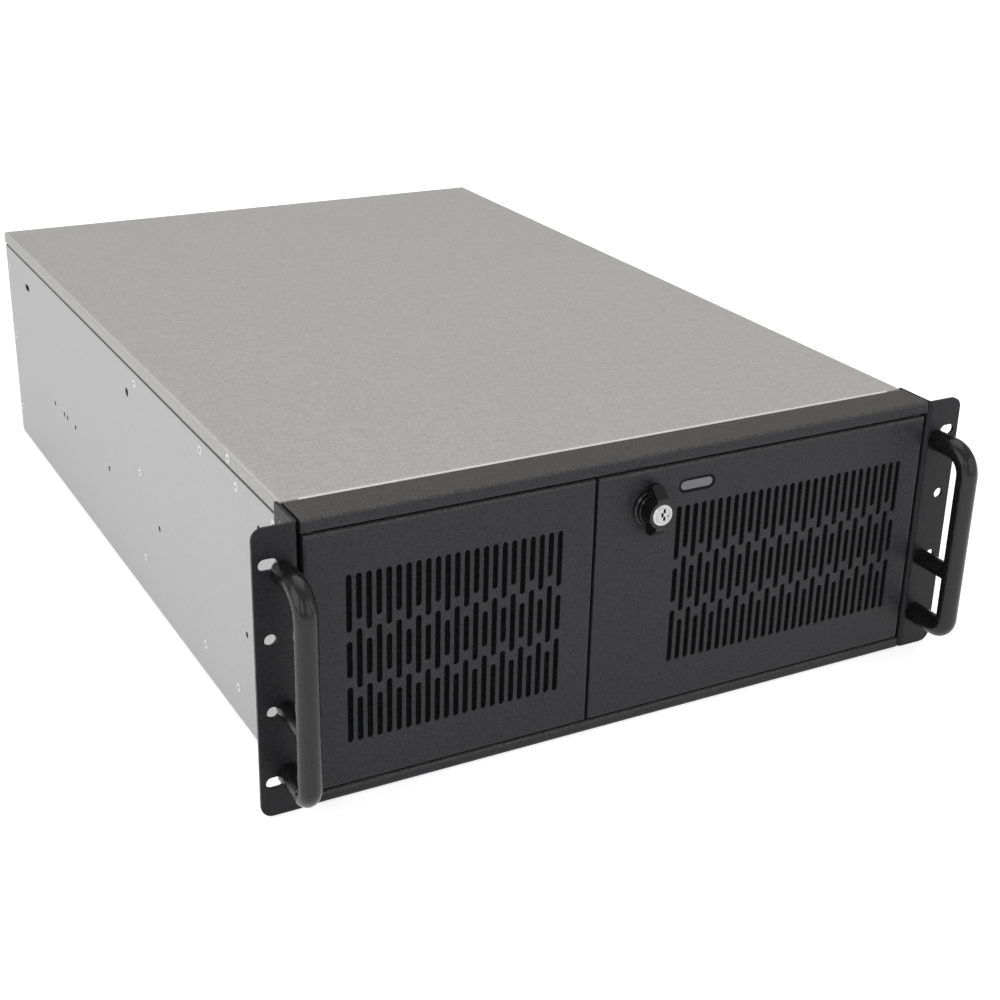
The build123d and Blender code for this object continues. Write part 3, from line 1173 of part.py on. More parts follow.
def slot_covers():
    """Seven blanking brackets, each with a tab bent over the ledge."""
    covers = []
    t = SLOT_BRACKET_SHEET
    inner = RECESS_FACE - SHEET
    for x in SLOT_X:
        plate_z = (SLOT_LOW - SLOT_BRACKET_LAP, SLOT_LEDGE_Z + t)
        cover = block(around(x, SLOT_BRACKET), (inner - t, inner), plate_z)
        tab_y = (inner - t, REAR_INSIDE - SLOT_TAB_GAP)
        tab = block(around(x, SLOT_BRACKET), tab_y, (SLOT_LEDGE_Z, SLOT_LEDGE_Z + t))
        hole = rod_z(x, card_screw_y(), CARD_SCREW_RADIUS + TOUCH, (SLOT_LEDGE_Z - 1, SLOT_LEDGE_Z + 3))
        covers.append(cover + tab - hole)
    return group(covers)


def slot_screws():
    """Screws that hold the blanking brackets."""
    screws = []
    seat = SLOT_LEDGE_Z + SLOT_BRACKET_SHEET
    for x in SLOT_X:
        head = rod_z(x, card_screw_y(), CARD_SCREW_HEAD, (seat, seat + CARD_SCREW_HEAD_THICK))
        shank = rod_z(x, card_screw_y(), CARD_SCREW_RADIUS, (seat - CARD_SCREW_LENGTH, seat))
        screws.append(head + shank)
    return group(screws)


def standoff_places():
    """Centres of the board standoffs."""
    rear = RECESS_FACE - SHEET - BOARD_HOLE_BACK
    columns = [i for i in BOARD_COLUMNS if BOARD_HOLE_X - i > BOARD_WALL_GAP - SIDE_IN]
    return [(BOARD_HOLE_X - i, rear - j) for i in columns for j in BOARD_ROWS]


def board_standoffs():
    """Hexagon posts for the main board, each pressed into the floor by its stud."""
    posts = []
    top = SHEET + STANDOFF_HEIGHT
    for x, y in standoff_places():
        post = Pos(x, y, SHEET) * extrude(hexagon(STANDOFF_FLATS), STANDOFF_HEIGHT)
        post += rod_z(x, y, STUD_RADIUS, (STUD_SINK, SHEET))
        posts.append(post - rod_z(x, y, STANDOFF_BORE, (top - STANDOFF_BORE_DEPTH, top + 1)))
    return group(posts)


def all_parts():
    """Every node of the case by name."""
    ear = right_ear()
    handle = right_handle()
    brace = right_brace()
    parts = {
        "chassis_tray": chassis_tray(),
        "front_panel": front_panel(),
        "center_post": center_post(),
        "catch_magnets": group([magnet_body(z, 0.0) for z in MAGNET_Z]),
        "rear_panel": rear_panel(),
        "top_cover": top_cover(),
        "cover_hooks": cover_hooks(),
        "cover_screws": cover_screws(),
        "side_rivets": side_rivets(),
        "right_ear": ear,
        "left_ear": mirrored(ear),
        "ear_screws": ear_screws(),
        "right_handle": handle,
        "left_handle": mirrored(handle),
        "handle_screws": handle_screws(),
        "hinge_pins": hinge_pins(),
        "hinge_washers": hinge_washers(),
        "left_door": left_door(),
        "left_filter": filter_pad(LEFT_VENT_X, LEFT_COLUMNS),
        "left_filter_frame": filter_frame(LEFT_VENT_X, LEFT_COLUMNS),
        "right_door": right_door(),
        "right_filter": filter_pad(RIGHT_VENT_X, RIGHT_COLUMNS),
        "right_filter_frame": filter_frame(RIGHT_VENT_X, RIGHT_COLUMNS),
        "window_bezel": window_bezel(),
        "indicator_lens": indicator_lens(),
        "lock_barrel": lock_barrel(),
        "lock_nut": lock_nut(),
        "lock_knob": lock_knob(),
        "lock_plug": lock_plug(),
        "lock_cam": lock_cam(),
        "cam_screw": cam_screw(),
        "drive_cage": drive_cage(),
        "fan_screws": fan_screws(),
        "control_board": control_board(),
        "board_spacers": board_spacers(),
        "status_leds": status_leds(),
        "usb_sockets": usb_sockets(),
        "switch_bodies": switch_bodies(),
        "power_button": push_button(POWER_X, POWER_RADIUS),
        "reset_button": push_button(RESET_X, RESET_RADIUS),
        "right_brace": brace,
        "left_brace": mirrored(brace),
        "hold_down_bar": hold_down_bar(),
        "bar_screws": bar_screws(),
        "slot_covers": slot_covers(),
        "slot_screws": slot_screws(),
        "board_standoffs": board_standoffs(),
    }
    for index in range(BAY_COUNT):
        parts[f"bay_cover_{index + 1}"] = bay_cover(index)
    for name, x in zip(("left", "right"), FAN_X):
        parts[f"{name}_fan_frame"] = fan_frame(x)
        parts[f"{name}_fan_rotor"] = fan_rotor(x)
    return parts


os.makedirs("parts", exist_ok=True)
for node, shape in all_parts().items():
    export_step(Pos(0, -MIDDLE_Y, 0) * shape, f"parts/{node}.step")
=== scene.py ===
import math

import bpy
from bpy.props import FloatProperty, FloatVectorProperty, PointerProperty
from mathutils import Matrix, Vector


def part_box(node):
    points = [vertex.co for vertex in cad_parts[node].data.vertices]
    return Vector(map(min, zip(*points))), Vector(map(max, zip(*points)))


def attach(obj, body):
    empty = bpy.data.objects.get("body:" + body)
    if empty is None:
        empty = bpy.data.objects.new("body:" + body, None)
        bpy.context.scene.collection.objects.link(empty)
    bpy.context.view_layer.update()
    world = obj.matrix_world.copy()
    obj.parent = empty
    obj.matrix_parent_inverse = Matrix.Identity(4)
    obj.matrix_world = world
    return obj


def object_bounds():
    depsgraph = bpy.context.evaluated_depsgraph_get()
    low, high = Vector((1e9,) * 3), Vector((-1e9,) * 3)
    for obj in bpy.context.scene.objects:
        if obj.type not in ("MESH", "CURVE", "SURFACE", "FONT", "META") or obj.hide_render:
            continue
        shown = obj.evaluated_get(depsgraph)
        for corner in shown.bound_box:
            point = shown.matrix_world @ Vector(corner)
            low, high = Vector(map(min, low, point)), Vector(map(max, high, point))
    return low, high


bl_info = {
    "name": "Rackmount server case",
    "version": (1, 0, 0),
    "blender": (4, 5, 0),
    "location": "View3D > Sidebar > Server case",
    "description": "Finishes, small fittings and studio for an empty rackmount server case",
    "category": "Object",
}

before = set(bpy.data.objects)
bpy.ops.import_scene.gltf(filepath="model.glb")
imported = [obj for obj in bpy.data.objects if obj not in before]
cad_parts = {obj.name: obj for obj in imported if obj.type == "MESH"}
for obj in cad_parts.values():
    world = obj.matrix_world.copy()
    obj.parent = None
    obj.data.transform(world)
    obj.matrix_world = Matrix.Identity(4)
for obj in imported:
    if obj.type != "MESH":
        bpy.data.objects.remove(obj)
CAD_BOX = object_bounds()
WHOLE_LOW, WHOLE_HIGH = CAD_BOX
MILLIMETRE = 0.001
# Highest level of a screen grey, and the toe and power of the screen's curve
TOP_LEVEL = 255
CURVE_TOE = 0.055
CURVE_POWER = 2.4


def grey(level, warm=0.0):
    """Linear colour of a screen grey from 0 to 255, with so many levels less blue."""
    shades = (level + max(warm, 0) / 2, level, level - warm)
    return tuple(((max(shade, 0) / TOP_LEVEL + CURVE_TOE) / (1 + CURVE_TOE)) ** CURVE_POWER
                 for shade in shades)


# Sizes and colours a user would change

# What all colour settings share
COLOUR = {"subtype": "COLOR", "size": 3, "min": 0, "max": 1}


class ServerCaseCoats(bpy.types.PropertyGroup):
    """Colours of the painted and moulded surfaces."""

    cover: FloatVectorProperty(
        name="Top cover", description="Grey powder coat of the cover",
        default=grey(170, 2), **COLOUR)
    wall: FloatVectorProperty(
        name="Walls", description="Light grey coat of the tray and the rear panel",
        default=grey(181), **COLOUR)
    front: FloatVectorProperty(
        name="Doors and front box", description="Black textured powder coat",
        default=grey(46, -2.4), **COLOUR)
    # The ears wear the same black paint as the doors; their darker grey is painted shade
    ear: FloatVectorProperty(
        name="Ears", description="Black coat of the rack ears",
        default=grey(33, -2.4), **COLOUR)
    handle: FloatVectorProperty(
        name="Handles", description="Satin black of the tube handles",
        default=grey(22, -1.5), **COLOUR)
    lock: FloatVectorProperty(
        name="Lock body", description="Black of the ring, the winged knob and the dark screws",
        default=grey(16), **COLOUR)
    foam: FloatVectorProperty(
        name="Foam", description="Dust filter behind the slots",
        default=grey(17), **COLOUR)
    moulded: FloatVectorProperty(
        name="Moulded parts", description="Black plastic of fans, bay covers and buttons",
        default=grey(36), **COLOUR)
    lens: FloatVectorProperty(
        name="Indicator window", description="Clouded grey of the window",
        default=grey(120, -2), **COLOUR)


class ServerCaseFittings(bpy.types.PropertyGroup):
    """Sizes of the small marks on screws and rivets."""

    cross_span: FloatProperty(
        name="Cross span", description="Width of a screw's cross recess against its head",
        default=0.52, min=0.2, max=0.9)
    cross_arm: FloatProperty(
        name="Cross arm", description="Width of one arm against the cross span",
        default=0.24, min=0.1, max=0.5)
    mark_height: FloatProperty(
        name="Mark height", description="How far a mark stands proud of its head",
        default=0.00006, min=0.00001, max=0.0005, unit="LENGTH")
    rivet_ring: FloatProperty(
        name="Rivet hollow", description="Radius of the hollow left by a rivet's mandrel",
        default=0.0011, min=0.0002, max=0.003, unit="LENGTH")


class ServerCaseStage(bpy.types.PropertyGroup):
    """Camera and lamps."""

    camera_place: FloatVectorProperty(
        name="Camera place", description="Camera position", subtype="TRANSLATION",
        unit="LENGTH", size=3, default=(-0.5051, -1.0493, 0.5355))
    camera_turn: FloatVectorProperty(
        name="Camera turn", description="Camera rotation", subtype="EULER",
        unit="ROTATION", size=3,
        default=tuple(math.radians(angle) for angle in (66.482, -1.323, -28.331)))
    lens: FloatProperty(
        name="Lens", description="Focal length on a 36 mm sensor, in millimetres",
        default=59.97, min=20, max=200)
    sky: FloatProperty(
        name="Sky", description="Strength of the even light from all round",
        default=0.5, min=0, max=2)
    side_lamp: FloatProperty(
        name="Side lamp", description="Softbox at the left",
        default=9.4, min=0, max=500, unit="POWER")
    top_lamp: FloatProperty(
        name="Top lamp", description="Softbox overhead",
        default=12, min=0, max=500, unit="POWER")
    front_lamp: FloatProperty(
        name="Front lamp", description="Softbox in front",
        default=6, min=0, max=500, unit="POWER")
    strip_lamp: FloatProperty(
        name="Strip lamps", description="Two narrow boxes that draw highlights on the tubes",
        default=2.6, min=0, max=500, unit="POWER")
    floor_glow: FloatProperty(
        name="Floor glow", description="Light that lifts the floor to white for the camera",
        default=0.6, min=0, max=1)


# Colours that no setting changes
ZINC = grey(196, 0.5)
NICKEL = grey(190)
BRASS = (0.62, 0.42, 0.16)
SOLDER_MASK = (0.01, 0.055, 0.028)
RIVET_COAT = grey(222)
# Darkest and lightest screen grey inside a screw's cross and a rivet's hollow
RECESS_GREYS = (8, 38)
HOLLOW_GREYS = (130, 150)


# Building node trees


class Tree:
    """Adds nodes to a tree by type, with input values and links in one call."""

    def __init__(self, tree):
        self.tree = tree

    def add(self, kind, inputs=None, **settings):
        """New node, with settings made before its inputs are filled or linked."""
        node = self.tree.nodes.new(kind)
        for key, value in settings.items():
            setattr(node, key, value)
        for key, value in (inputs or {}).items():
            self.feed(node.inputs[key], value)
        return node

    def feed(self, socket, value):
        """Link from another socket, or a plain value."""
        if isinstance(value, bpy.types.NodeSocket):
            self.tree.links.new(value, socket)
        else:
            socket.default_value = value

    def maths(self, operation, first, second=0.0, third=0.0):
        """Result of a sum with up to three numbers."""
        node = self.add("ShaderNodeMath", {0: first, 1: second, 2: third}, operation=operation)
        return node.outputs[0]

    def scaled(self, vector, factor):
        """Vector or colour times a number."""
        node = self.add("ShaderNodeVectorMath", {0: vector, "Scale": factor}, operation="SCALE")
        return node.outputs[0]

    def noise(self, place, scale, detail=2.0):
        """Noise around 0.5, with so many waves per metre."""
        node = self.add("ShaderNodeTexNoise", {"Vector": place, "Scale": scale, "Detail": detail})
        return node.outputs["Fac"]


def new_group(name, kind, inputs, outputs):
    """Node group with named sockets, its helper and its group input and output nodes."""
    group = bpy.data.node_groups.new(name, kind)
    for direction, sockets in (("INPUT", inputs), ("OUTPUT", outputs)):
        for socket, socket_type, default in sockets:
            made = group.interface.new_socket(
                name=socket, in_out=direction, socket_type=socket_type)
            if default is not None:
                made.default_value = default
    tree = Tree(group)
    return group, tree, tree.add("NodeGroupInput"), tree.add("NodeGroupOutput")


# Middle of a noise, which is taken off so that it darkens as much as it lightens
NOISE_MIDDLE = 0.5

# Large grains of a powder coat against the small ones, and each kind's share
COARSE_SCALE = 0.32
FINE_SHARE = 0.85
COARSE_SHARE = 0.15
# Patches of slow mottling per metre
MOTTLE_SCALE = 14.0
# How much the grains roughen the coat, and how much more painted top light they take
GRAIN_ROUGHNESS = 0.3
TOP_LIGHT_CONTRAST = 5.0
# Warm tone of the painted top light on upward faces
TOP_LIGHT_TONE = (1.0, 0.92, 0.76)
# How far the painted highlight on the cover's front rim reaches back, and how much lighter it is
RIM_DEPTH = 1.3 * MILLIMETRE
RIM_LIGHT = 0.7
# How deep the tray's outer face reaches, and how much painted shade darkens its inside
SKIN_DEPTH = 0.3 * MILLIMETRE
INNER_SHADE = 0.8
# Values for a coat without a rim highlight or a shaded inside: no place lies before or within them
NO_RIM = -10.0
NO_INSIDE = -1.0


def build_powder_group():
    """Powder coat: grains, slow mottling, painted light on what faces up, painted highlights on
    bends.

    Rim is the place along Y ahead of which a highlight is painted. Inner half is the distance to
    either side of the middle within which painted shade darkens the sheet, above its skin.
    """
    group, tree, source, result = new_group(
        "Powder coat", "ShaderNodeTree",
        [("Color", "NodeSocketColor", (0.4, 0.4, 0.4, 1.0)),
         ("Grain size", "NodeSocketFloat", 0.0006), ("Grain", "NodeSocketFloat", 0.2),
         ("Mottle", "NodeSocketFloat", 0.04), ("Gloss level", "NodeSocketFloat", 0.5),
         ("Bend highlight", "NodeSocketFloat", 0.0), ("Dust", "NodeSocketFloat", 0.0),
         ("Rim", "NodeSocketFloat", NO_RIM), ("Inner half", "NodeSocketFloat", NO_INSIDE)],
        [("Color", "NodeSocketColor", None), ("Roughness", "NodeSocketFloat", None),
         ("Height", "NodeSocketFloat", None)])
    coordinates = tree.add("ShaderNodeTexCoord")
    place = coordinates.outputs["Object"]
    normal = coordinates.outputs["Normal"]
    across, along, up = tree.add("ShaderNodeSeparateXYZ", {0: place}).outputs

    # Grains of two sizes and slow patches
    frequency = tree.maths("DIVIDE", 1.0, source.outputs["Grain size"])
    fine = tree.noise(place, frequency)
    coarse = tree.noise(place, tree.maths("MULTIPLY", frequency, COARSE_SCALE), detail=1.0)
    slow = tree.noise(place, MOTTLE_SCALE, detail=3.0)
    blend = tree.maths("ADD", tree.maths("MULTIPLY", fine, FINE_SHARE),
                       tree.maths("MULTIPLY", coarse, COARSE_SHARE))
    centred = tree.maths("SUBTRACT", blend, NOISE_MIDDLE)
    grains = tree.maths("MULTIPLY", centred, source.outputs["Grain"])
    mottle = tree.maths("MULTIPLY", tree.maths("SUBTRACT", slow, NOISE_MIDDLE),
                        source.outputs["Mottle"])

    # Painted highlight where the surface faces along no axis, and on the rim
    facing = tree.add("ShaderNodeVectorMath", {0: normal}, operation="ABSOLUTE")
    sides = tree.add("ShaderNodeSeparateXYZ", {0: facing.outputs[0]}).outputs
    flat = tree.maths("MAXIMUM", tree.maths("MAXIMUM", sides[0], sides[1]), sides[2])
    painted_bend_highlight = tree.maths("MULTIPLY", tree.maths("SUBTRACT", 1.0, flat), source.outputs["Bend highlight"])
    ahead = tree.maths("LESS_THAN", along, source.outputs["Rim"])
    painted_highlight = tree.maths("ADD", tree.maths("ADD", painted_bend_highlight, tree.maths("MULTIPLY", ahead, RIM_LIGHT)), 1.0)

    # Painted shade on the inside of the case
    within = tree.maths("LESS_THAN", tree.maths("ABSOLUTE", across), source.outputs["Inner half"])
    above = tree.maths("GREATER_THAN", up, SKIN_DEPTH)
    painted_inner_shade = tree.maths("MULTIPLY", tree.maths("MULTIPLY", within, above), -INNER_SHADE)

    factor = tree.maths("ADD", tree.maths("ADD", grains, mottle), painted_highlight)
    factor = tree.maths("ADD", factor, painted_inner_shade)
    paint = tree.scaled(source.outputs["Color"], factor)

    # Painted top light on upward faces, through the Dust input, most of it on the highest grains
    upward = tree.add("ShaderNodeSeparateXYZ", {0: normal}).outputs[2]
    top_lit = tree.maths("MULTIPLY", tree.maths("MAXIMUM", upward, 0.0), source.outputs["Dust"])
    uneven = tree.maths("ADD", tree.maths("MULTIPLY", centred, TOP_LIGHT_CONTRAST), 1.0)
    painted_top_light = tree.scaled(TOP_LIGHT_TONE, tree.maths("MULTIPLY", top_lit, uneven))

    tint = tree.add("ShaderNodeVectorMath", {0: paint, 1: painted_top_light}, operation="ADD")
    rough = tree.maths("ADD", source.outputs["Gloss level"],
                       tree.maths("MULTIPLY", grains, GRAIN_ROUGHNESS))
    tree.feed(result.inputs["Color"], tint.outputs[0])
    tree.feed(result.inputs["Roughness"], rough)
    tree.feed(result.inputs["Height"], blend)
    return group


# Draw marks of plated sheet: how many per metre, how much finer up the sheet, how strong
DRAW_SCALE = 120.0
DRAW_STRETCH = 26.0
DRAW_STRENGTH = 0.16


def build_plate_group():
    """Zinc plate: faint crystal patches with fine draw marks along one way."""
    group, tree, source, result = new_group(
        "Plated sheet", "ShaderNodeTree",
        [("Color", "NodeSocketColor", (0.5, 0.5, 0.52, 1.0)),
         ("Patch size", "NodeSocketFloat", 0.012), ("Patch depth", "NodeSocketFloat", 0.18),
         ("Gloss level", "NodeSocketFloat", 0.34)],
        [("Color", "NodeSocketColor", None), ("Roughness", "NodeSocketFloat", None),
         ("Height", "NodeSocketFloat", None)])
    place = tree.add("ShaderNodeTexCoord").outputs["Object"]
    frequency = tree.maths("DIVIDE", 1.0, source.outputs["Patch size"])
    patch = tree.add("ShaderNodeTexVoronoi", {"Vector": place, "Scale": frequency})
    level = tree.add("ShaderNodeSeparateColor", {"Color": patch.outputs["Color"]}).outputs["Red"]
    patches = tree.maths("MULTIPLY", tree.maths("SUBTRACT", level, NOISE_MIDDLE),
                         source.outputs["Patch depth"])
    drawn = tree.add("ShaderNodeMapping", {"Vector": place, "Scale": (1.0, 1.0, DRAW_STRETCH)})
    marks = tree.noise(drawn.outputs[0], DRAW_SCALE, detail=3.0)
    strokes = tree.maths("MULTIPLY", tree.maths("SUBTRACT", marks, NOISE_MIDDLE), DRAW_STRENGTH)
    factor = tree.maths("ADD", tree.maths("ADD", patches, strokes), 1.0)
    rough = tree.maths("ADD", source.outputs["Gloss level"], strokes)
    tree.feed(result.inputs["Color"], tree.scaled(source.outputs["Color"], factor))
    tree.feed(result.inputs["Roughness"], rough)
    tree.feed(result.inputs["Height"], marks)
    return group


# How sharply the foam's cell walls rise, and how light the walls and the pores are
WALL_POWER = 2.0
WALL_LIGHT = 1.8
PORE_LIGHT = 0.3


def build_foam_group():
    """Open cell foam: small dark pores between paler cell walls."""
    group, tree, source, result = new_group(
        "Foam cells", "ShaderNodeTree",
        [("Color", "NodeSocketColor", (0.01, 0.01, 0.01, 1.0)),
         ("Cell size", "NodeSocketFloat", 0.0011)],
        [("Color", "NodeSocketColor", None), ("Height", "NodeSocketFloat", None)])
    place = tree.add("ShaderNodeTexCoord").outputs["Object"]
    frequency = tree.maths("DIVIDE", 1.0, source.outputs["Cell size"])
    cells = tree.add("ShaderNodeTexVoronoi", {"Vector": place, "Scale": frequency})
    depth = tree.maths("SUBTRACT", 1.0, cells.outputs["Distance"])
    wall = tree.maths("POWER", cells.outputs["Distance"], WALL_POWER)
    factor = tree.maths("ADD", tree.maths("MULTIPLY", wall, WALL_LIGHT), PORE_LIGHT)
    tree.feed(result.inputs["Color"], tree.scaled(source.outputs["Color"], factor))
    tree.feed(result.inputs["Height"], depth)
    return group


def group_named(name, builder):
    """The node group of that name, built on first use."""
    return bpy.data.node_groups.get(name) or builder()


# Materials

# Depth of a coat's grains against their size
GRAIN_DEPTH = 0.3
# Strength and depth of the bump of plated sheet and of foam
PLATE_BUMP = 0.12
PLATE_DEPTH = 0.02 * MILLIMETRE
FOAM_BUMP = 0.7
FOAM_DEPTH = 0.4 * MILLIMETRE
# Roughness of foam and its specular level, and roughness inside a mark
FOAM_ROUGHNESS = 0.95
FOAM_SPECULAR = 0.06
MARK_ROUGHNESS = 0.7
# Waves per metre of the unevenness inside a mark
MARK_SCALE = 900.0
# Depth of the plug that shows nickel before painted shade darkens it, and how much less of it does
# inside the groove
PLUG_BRIGHT = 0.5 * MILLIMETRE
KEYWAY_DARK = 0.42 * MILLIMETRE
# Radius of the turned groove against the plug's own, and half its width
PLUG_GROOVE = 0.74
PLUG_GROOVE_HALF = 0.15 * MILLIMETRE
# How much darker the groove is, and the face inside it
GROOVE_SHADE = 0.4
FACE_SHADE = 0.14


def start_material(name):
    """Empty material with its helper and a Principled shader joined to the output."""
    material = bpy.data.materials.new(name)
    material.use_nodes = True
    material.node_tree.nodes.clear()
    tree = Tree(material.node_tree)
    shader = tree.add("ShaderNodeBsdfPrincipled")
    tree.add("ShaderNodeOutputMaterial", {"Surface": shader.outputs[0]})
    return material, tree, shader


def add_bump(tree, shader, height, strength, distance):
    """Height through a Bump node into the shader's normal."""
    inputs = {"Height": height, "Strength": strength, "Distance": distance}
    bump = tree.add("ShaderNodeBump", inputs)
    tree.feed(shader.inputs["Normal"], bump.outputs[0])


# The bend value paints a highlight on the bends of a coat
def powder_material(name, color, grain_size, grain, mottle, gloss, bump, specular=0.5,
                    bend_highlight=0.0, painted_top_light=0.0, rim=NO_RIM, inner=NO_INSIDE):
    """Matt coat with grains, for paint, plastic, lens and solder mask."""
    material, tree, shader = start_material(name)
    coat = tree.add("ShaderNodeGroup", node_tree=group_named("Powder coat", build_powder_group))
    values = {"Color": (*color, 1.0), "Grain size": grain_size, "Grain": grain,
              "Mottle": mottle, "Gloss level": gloss, "Bend highlight": bend_highlight, "Dust": painted_top_light,
              "Rim": rim, "Inner half": inner}
    for key, value in values.items():
        tree.feed(coat.inputs[key], value)
    tree.feed(shader.inputs["Base Color"], coat.outputs["Color"])
    tree.feed(shader.inputs["Roughness"], coat.outputs["Roughness"])
    shader.inputs["Specular IOR Level"].default_value = specular
    add_bump(tree, shader, coat.outputs["Height"], bump, GRAIN_DEPTH * grain_size)
    return material


def plated_material(name, color, patch_size, patch_depth, gloss):
    """Bare metal: zinc, nickel or brass."""
    material, tree, shader = start_material(name)
    plate = tree.add("ShaderNodeGroup", node_tree=group_named("Plated sheet", build_plate_group))
    values = {"Color": (*color, 1.0), "Patch size": patch_size, "Patch depth": patch_depth,
              "Gloss level": gloss}
    for key, value in values.items():
        tree.feed(plate.inputs[key], value)
    tree.feed(shader.inputs["Base Color"], plate.outputs["Color"])
    tree.feed(shader.inputs["Roughness"], plate.outputs["Roughness"])
    shader.inputs["Metallic"].default_value = 1.0
    add_bump(tree, shader, plate.outputs["Height"], PLATE_BUMP, PLATE_DEPTH)
    return material


def plug_material(name, color, low, high):
    """Nickel key plug with a turned groove in its face and a keyway darkened inside by painted
    shade.
    """
    material = plated_material(name, color, patch_size=0.003, patch_depth=0.16, gloss=0.3)
    tree = Tree(material.node_tree)
    shader = next(node for node in tree.tree.nodes if node.type == "BSDF_PRINCIPLED")
    lit = shader.inputs["Base Color"].links[0].from_socket
    place = tree.add("ShaderNodeTexCoord").outputs["Object"]

    # Distance from the plug's axis, which runs along Y
    middle = (low + high) / 2
    across = tree.add("ShaderNodeVectorMath", {0: place, 1: (1.0, 0.0, 1.0)},
                      operation="MULTIPLY").outputs[0]
    radius = tree.add("ShaderNodeVectorMath", {0: across, 1: (middle.x, 0.0, middle.z)},
                      operation="DISTANCE").outputs["Value"]
    groove_radius = PLUG_GROOVE * (high.x - low.x) / 2
    groove = tree.maths("COMPARE", radius, groove_radius, PLUG_GROOVE_HALF)
    inside = tree.maths("LESS_THAN", radius, groove_radius)
    shade = tree.maths("ADD", tree.maths("MULTIPLY", groove, GROOVE_SHADE),
                       tree.maths("MULTIPLY", inside, FACE_SHADE))

    # Nickel near the face, and painted shade further in
    depth = tree.add("ShaderNodeSeparateXYZ", {0: place}).outputs[1]
    sunk = tree.maths("ADD", depth, tree.maths("MULTIPLY", inside, KEYWAY_DARK))
    bright = tree.maths("LESS_THAN", sunk, low.y + PLUG_BRIGHT)
    level = tree.maths("MULTIPLY", bright, tree.maths("SUBTRACT", 1.0, shade))
    tree.feed(shader.inputs["Base Color"], tree.scaled(lit, level))
    tree.feed(shader.inputs["Metallic"], bright)
    return material


def foam_material(name, color):
    """Foam seen through the slots."""
    material, tree, shader = start_material(name)
    foam = tree.add("ShaderNodeGroup", node_tree=group_named("Foam cells", build_foam_group))
    tree.feed(foam.inputs["Color"], (*color, 1.0))
    tree.feed(shader.inputs["Base Color"], foam.outputs["Color"])
    shader.inputs["Roughness"].default_value = FOAM_ROUGHNESS
    shader.inputs["Specular IOR Level"].default_value = FOAM_SPECULAR
    add_bump(tree, shader, foam.outputs["Height"], FOAM_BUMP, FOAM_DEPTH)
    return material


def mark_material(name, low, high):
    """Shadowed hollow in a screw or rivet head, between two levels of grey."""
    material, tree, shader = start_material(name)
    place = tree.add("ShaderNodeTexCoord").outputs["Object"]
    ramp = tree.add("ShaderNodeValToRGB", {"Fac": tree.noise(place, MARK_SCALE)})
    for element, level in zip(ramp.color_ramp.elements, (low, high)):
        element.color = (*grey(level), 1.0)
    tree.feed(shader.inputs["Base Color"], ramp.outputs["Color"])
    shader.inputs["Roughness"].default_value = MARK_ROUGHNESS
    return material


def finish_nodes(names, material):
    """Puts one material on CAD nodes."""
    for name in names:
        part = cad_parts[name]
        if not part.material_slots:
            part.data.materials.append(material)
        for holder in part.material_slots:
            holder.material = material


# Repeated marks, made with geometry nodes

# Half the width of a mark's outline before it is sized
HALF_SPAN = 0.5
# Corners of a round mark
ROUND_SIDES = 20
# Corners of a solid that agree to so many decimals of a metre are one
SAME_PLACE = 6
# Turns that lay a flat mark's face along a direction, by axis and side
FACING = {(0, 1): (0.0, math.pi / 2, 0.0), (0, -1): (0.0, -math.pi / 2, 0.0),
          (1, 1): (-math.pi / 2, 0.0, 0.0), (1, -1): (math.pi / 2, 0.0, 0.0),
          (2, 1): (0.0, 0.0, 0.0), (2, -1): (math.pi, 0.0, 0.0)}


def cross_outline():
    """Flat cross of unit span, given thickness later."""
    arm = bpy.context.scene.server_case_fittings.cross_arm / 2
    end = HALF_SPAN
    points = [(-arm, -end), (arm, -end), (arm, -arm), (end, -arm), (end, arm), (arm, arm),
              (arm, end), (-arm, end), (-arm, arm), (-end, arm), (-end, -arm), (-arm, -arm)]
    mesh = bpy.data.meshes.new("cross_outline")
    mesh.from_pydata([(x, y, 0.0) for x, y in points], [], [list(range(len(points)))])
    return bpy.data.objects.new("cross_outline", mesh)


def build_mark_tree(name, material, shape):
    """Tree that sets a thin mark on every point, round where no shape is given."""
    group, tree, source, result = new_group(
        name, "GeometryNodeTree",
        [("Geometry", "NodeSocketGeometry", None), ("Span", "NodeSocketFloat", 0.003),
         ("Height", "NodeSocketFloat", 0.00005), ("Turn", "NodeSocketVector", (0.0, 0.0, 0.0))],
        [("Geometry", "NodeSocketGeometry", None)])
    if shape is None:
        circle = {"Vertices": ROUND_SIDES, "Radius": HALF_SPAN}
        flat = tree.add("GeometryNodeMeshCircle", circle, fill_type="NGON").outputs[0]
    else:
        flat = tree.add("GeometryNodeObjectInfo", {"Object": shape}).outputs["Geometry"]
    span = source.outputs["Span"]
    scale = tree.add("ShaderNodeCombineXYZ", {"X": span, "Y": span, "Z": 1.0})
    sized = tree.add("GeometryNodeTransform", {"Geometry": flat, "Scale": scale.outputs[0]})
    raised = tree.add("GeometryNodeExtrudeMesh", {
        "Mesh": sized.outputs[0], "Offset Scale": source.outputs["Height"],
        "Individual": False})
    spread = tree.add("GeometryNodeInstanceOnPoints", {
        "Points": source.outputs["Geometry"], "Instance": raised.outputs["Mesh"],
        "Rotation": source.outputs["Turn"]})
    real = tree.add("GeometryNodeRealizeInstances", {"Geometry": spread.outputs[0]})
    coated = tree.add("GeometryNodeSetMaterial", {
        "Geometry": real.outputs[0], "Material": material})
    tree.feed(result.inputs[0], coated.outputs[0])
    return group


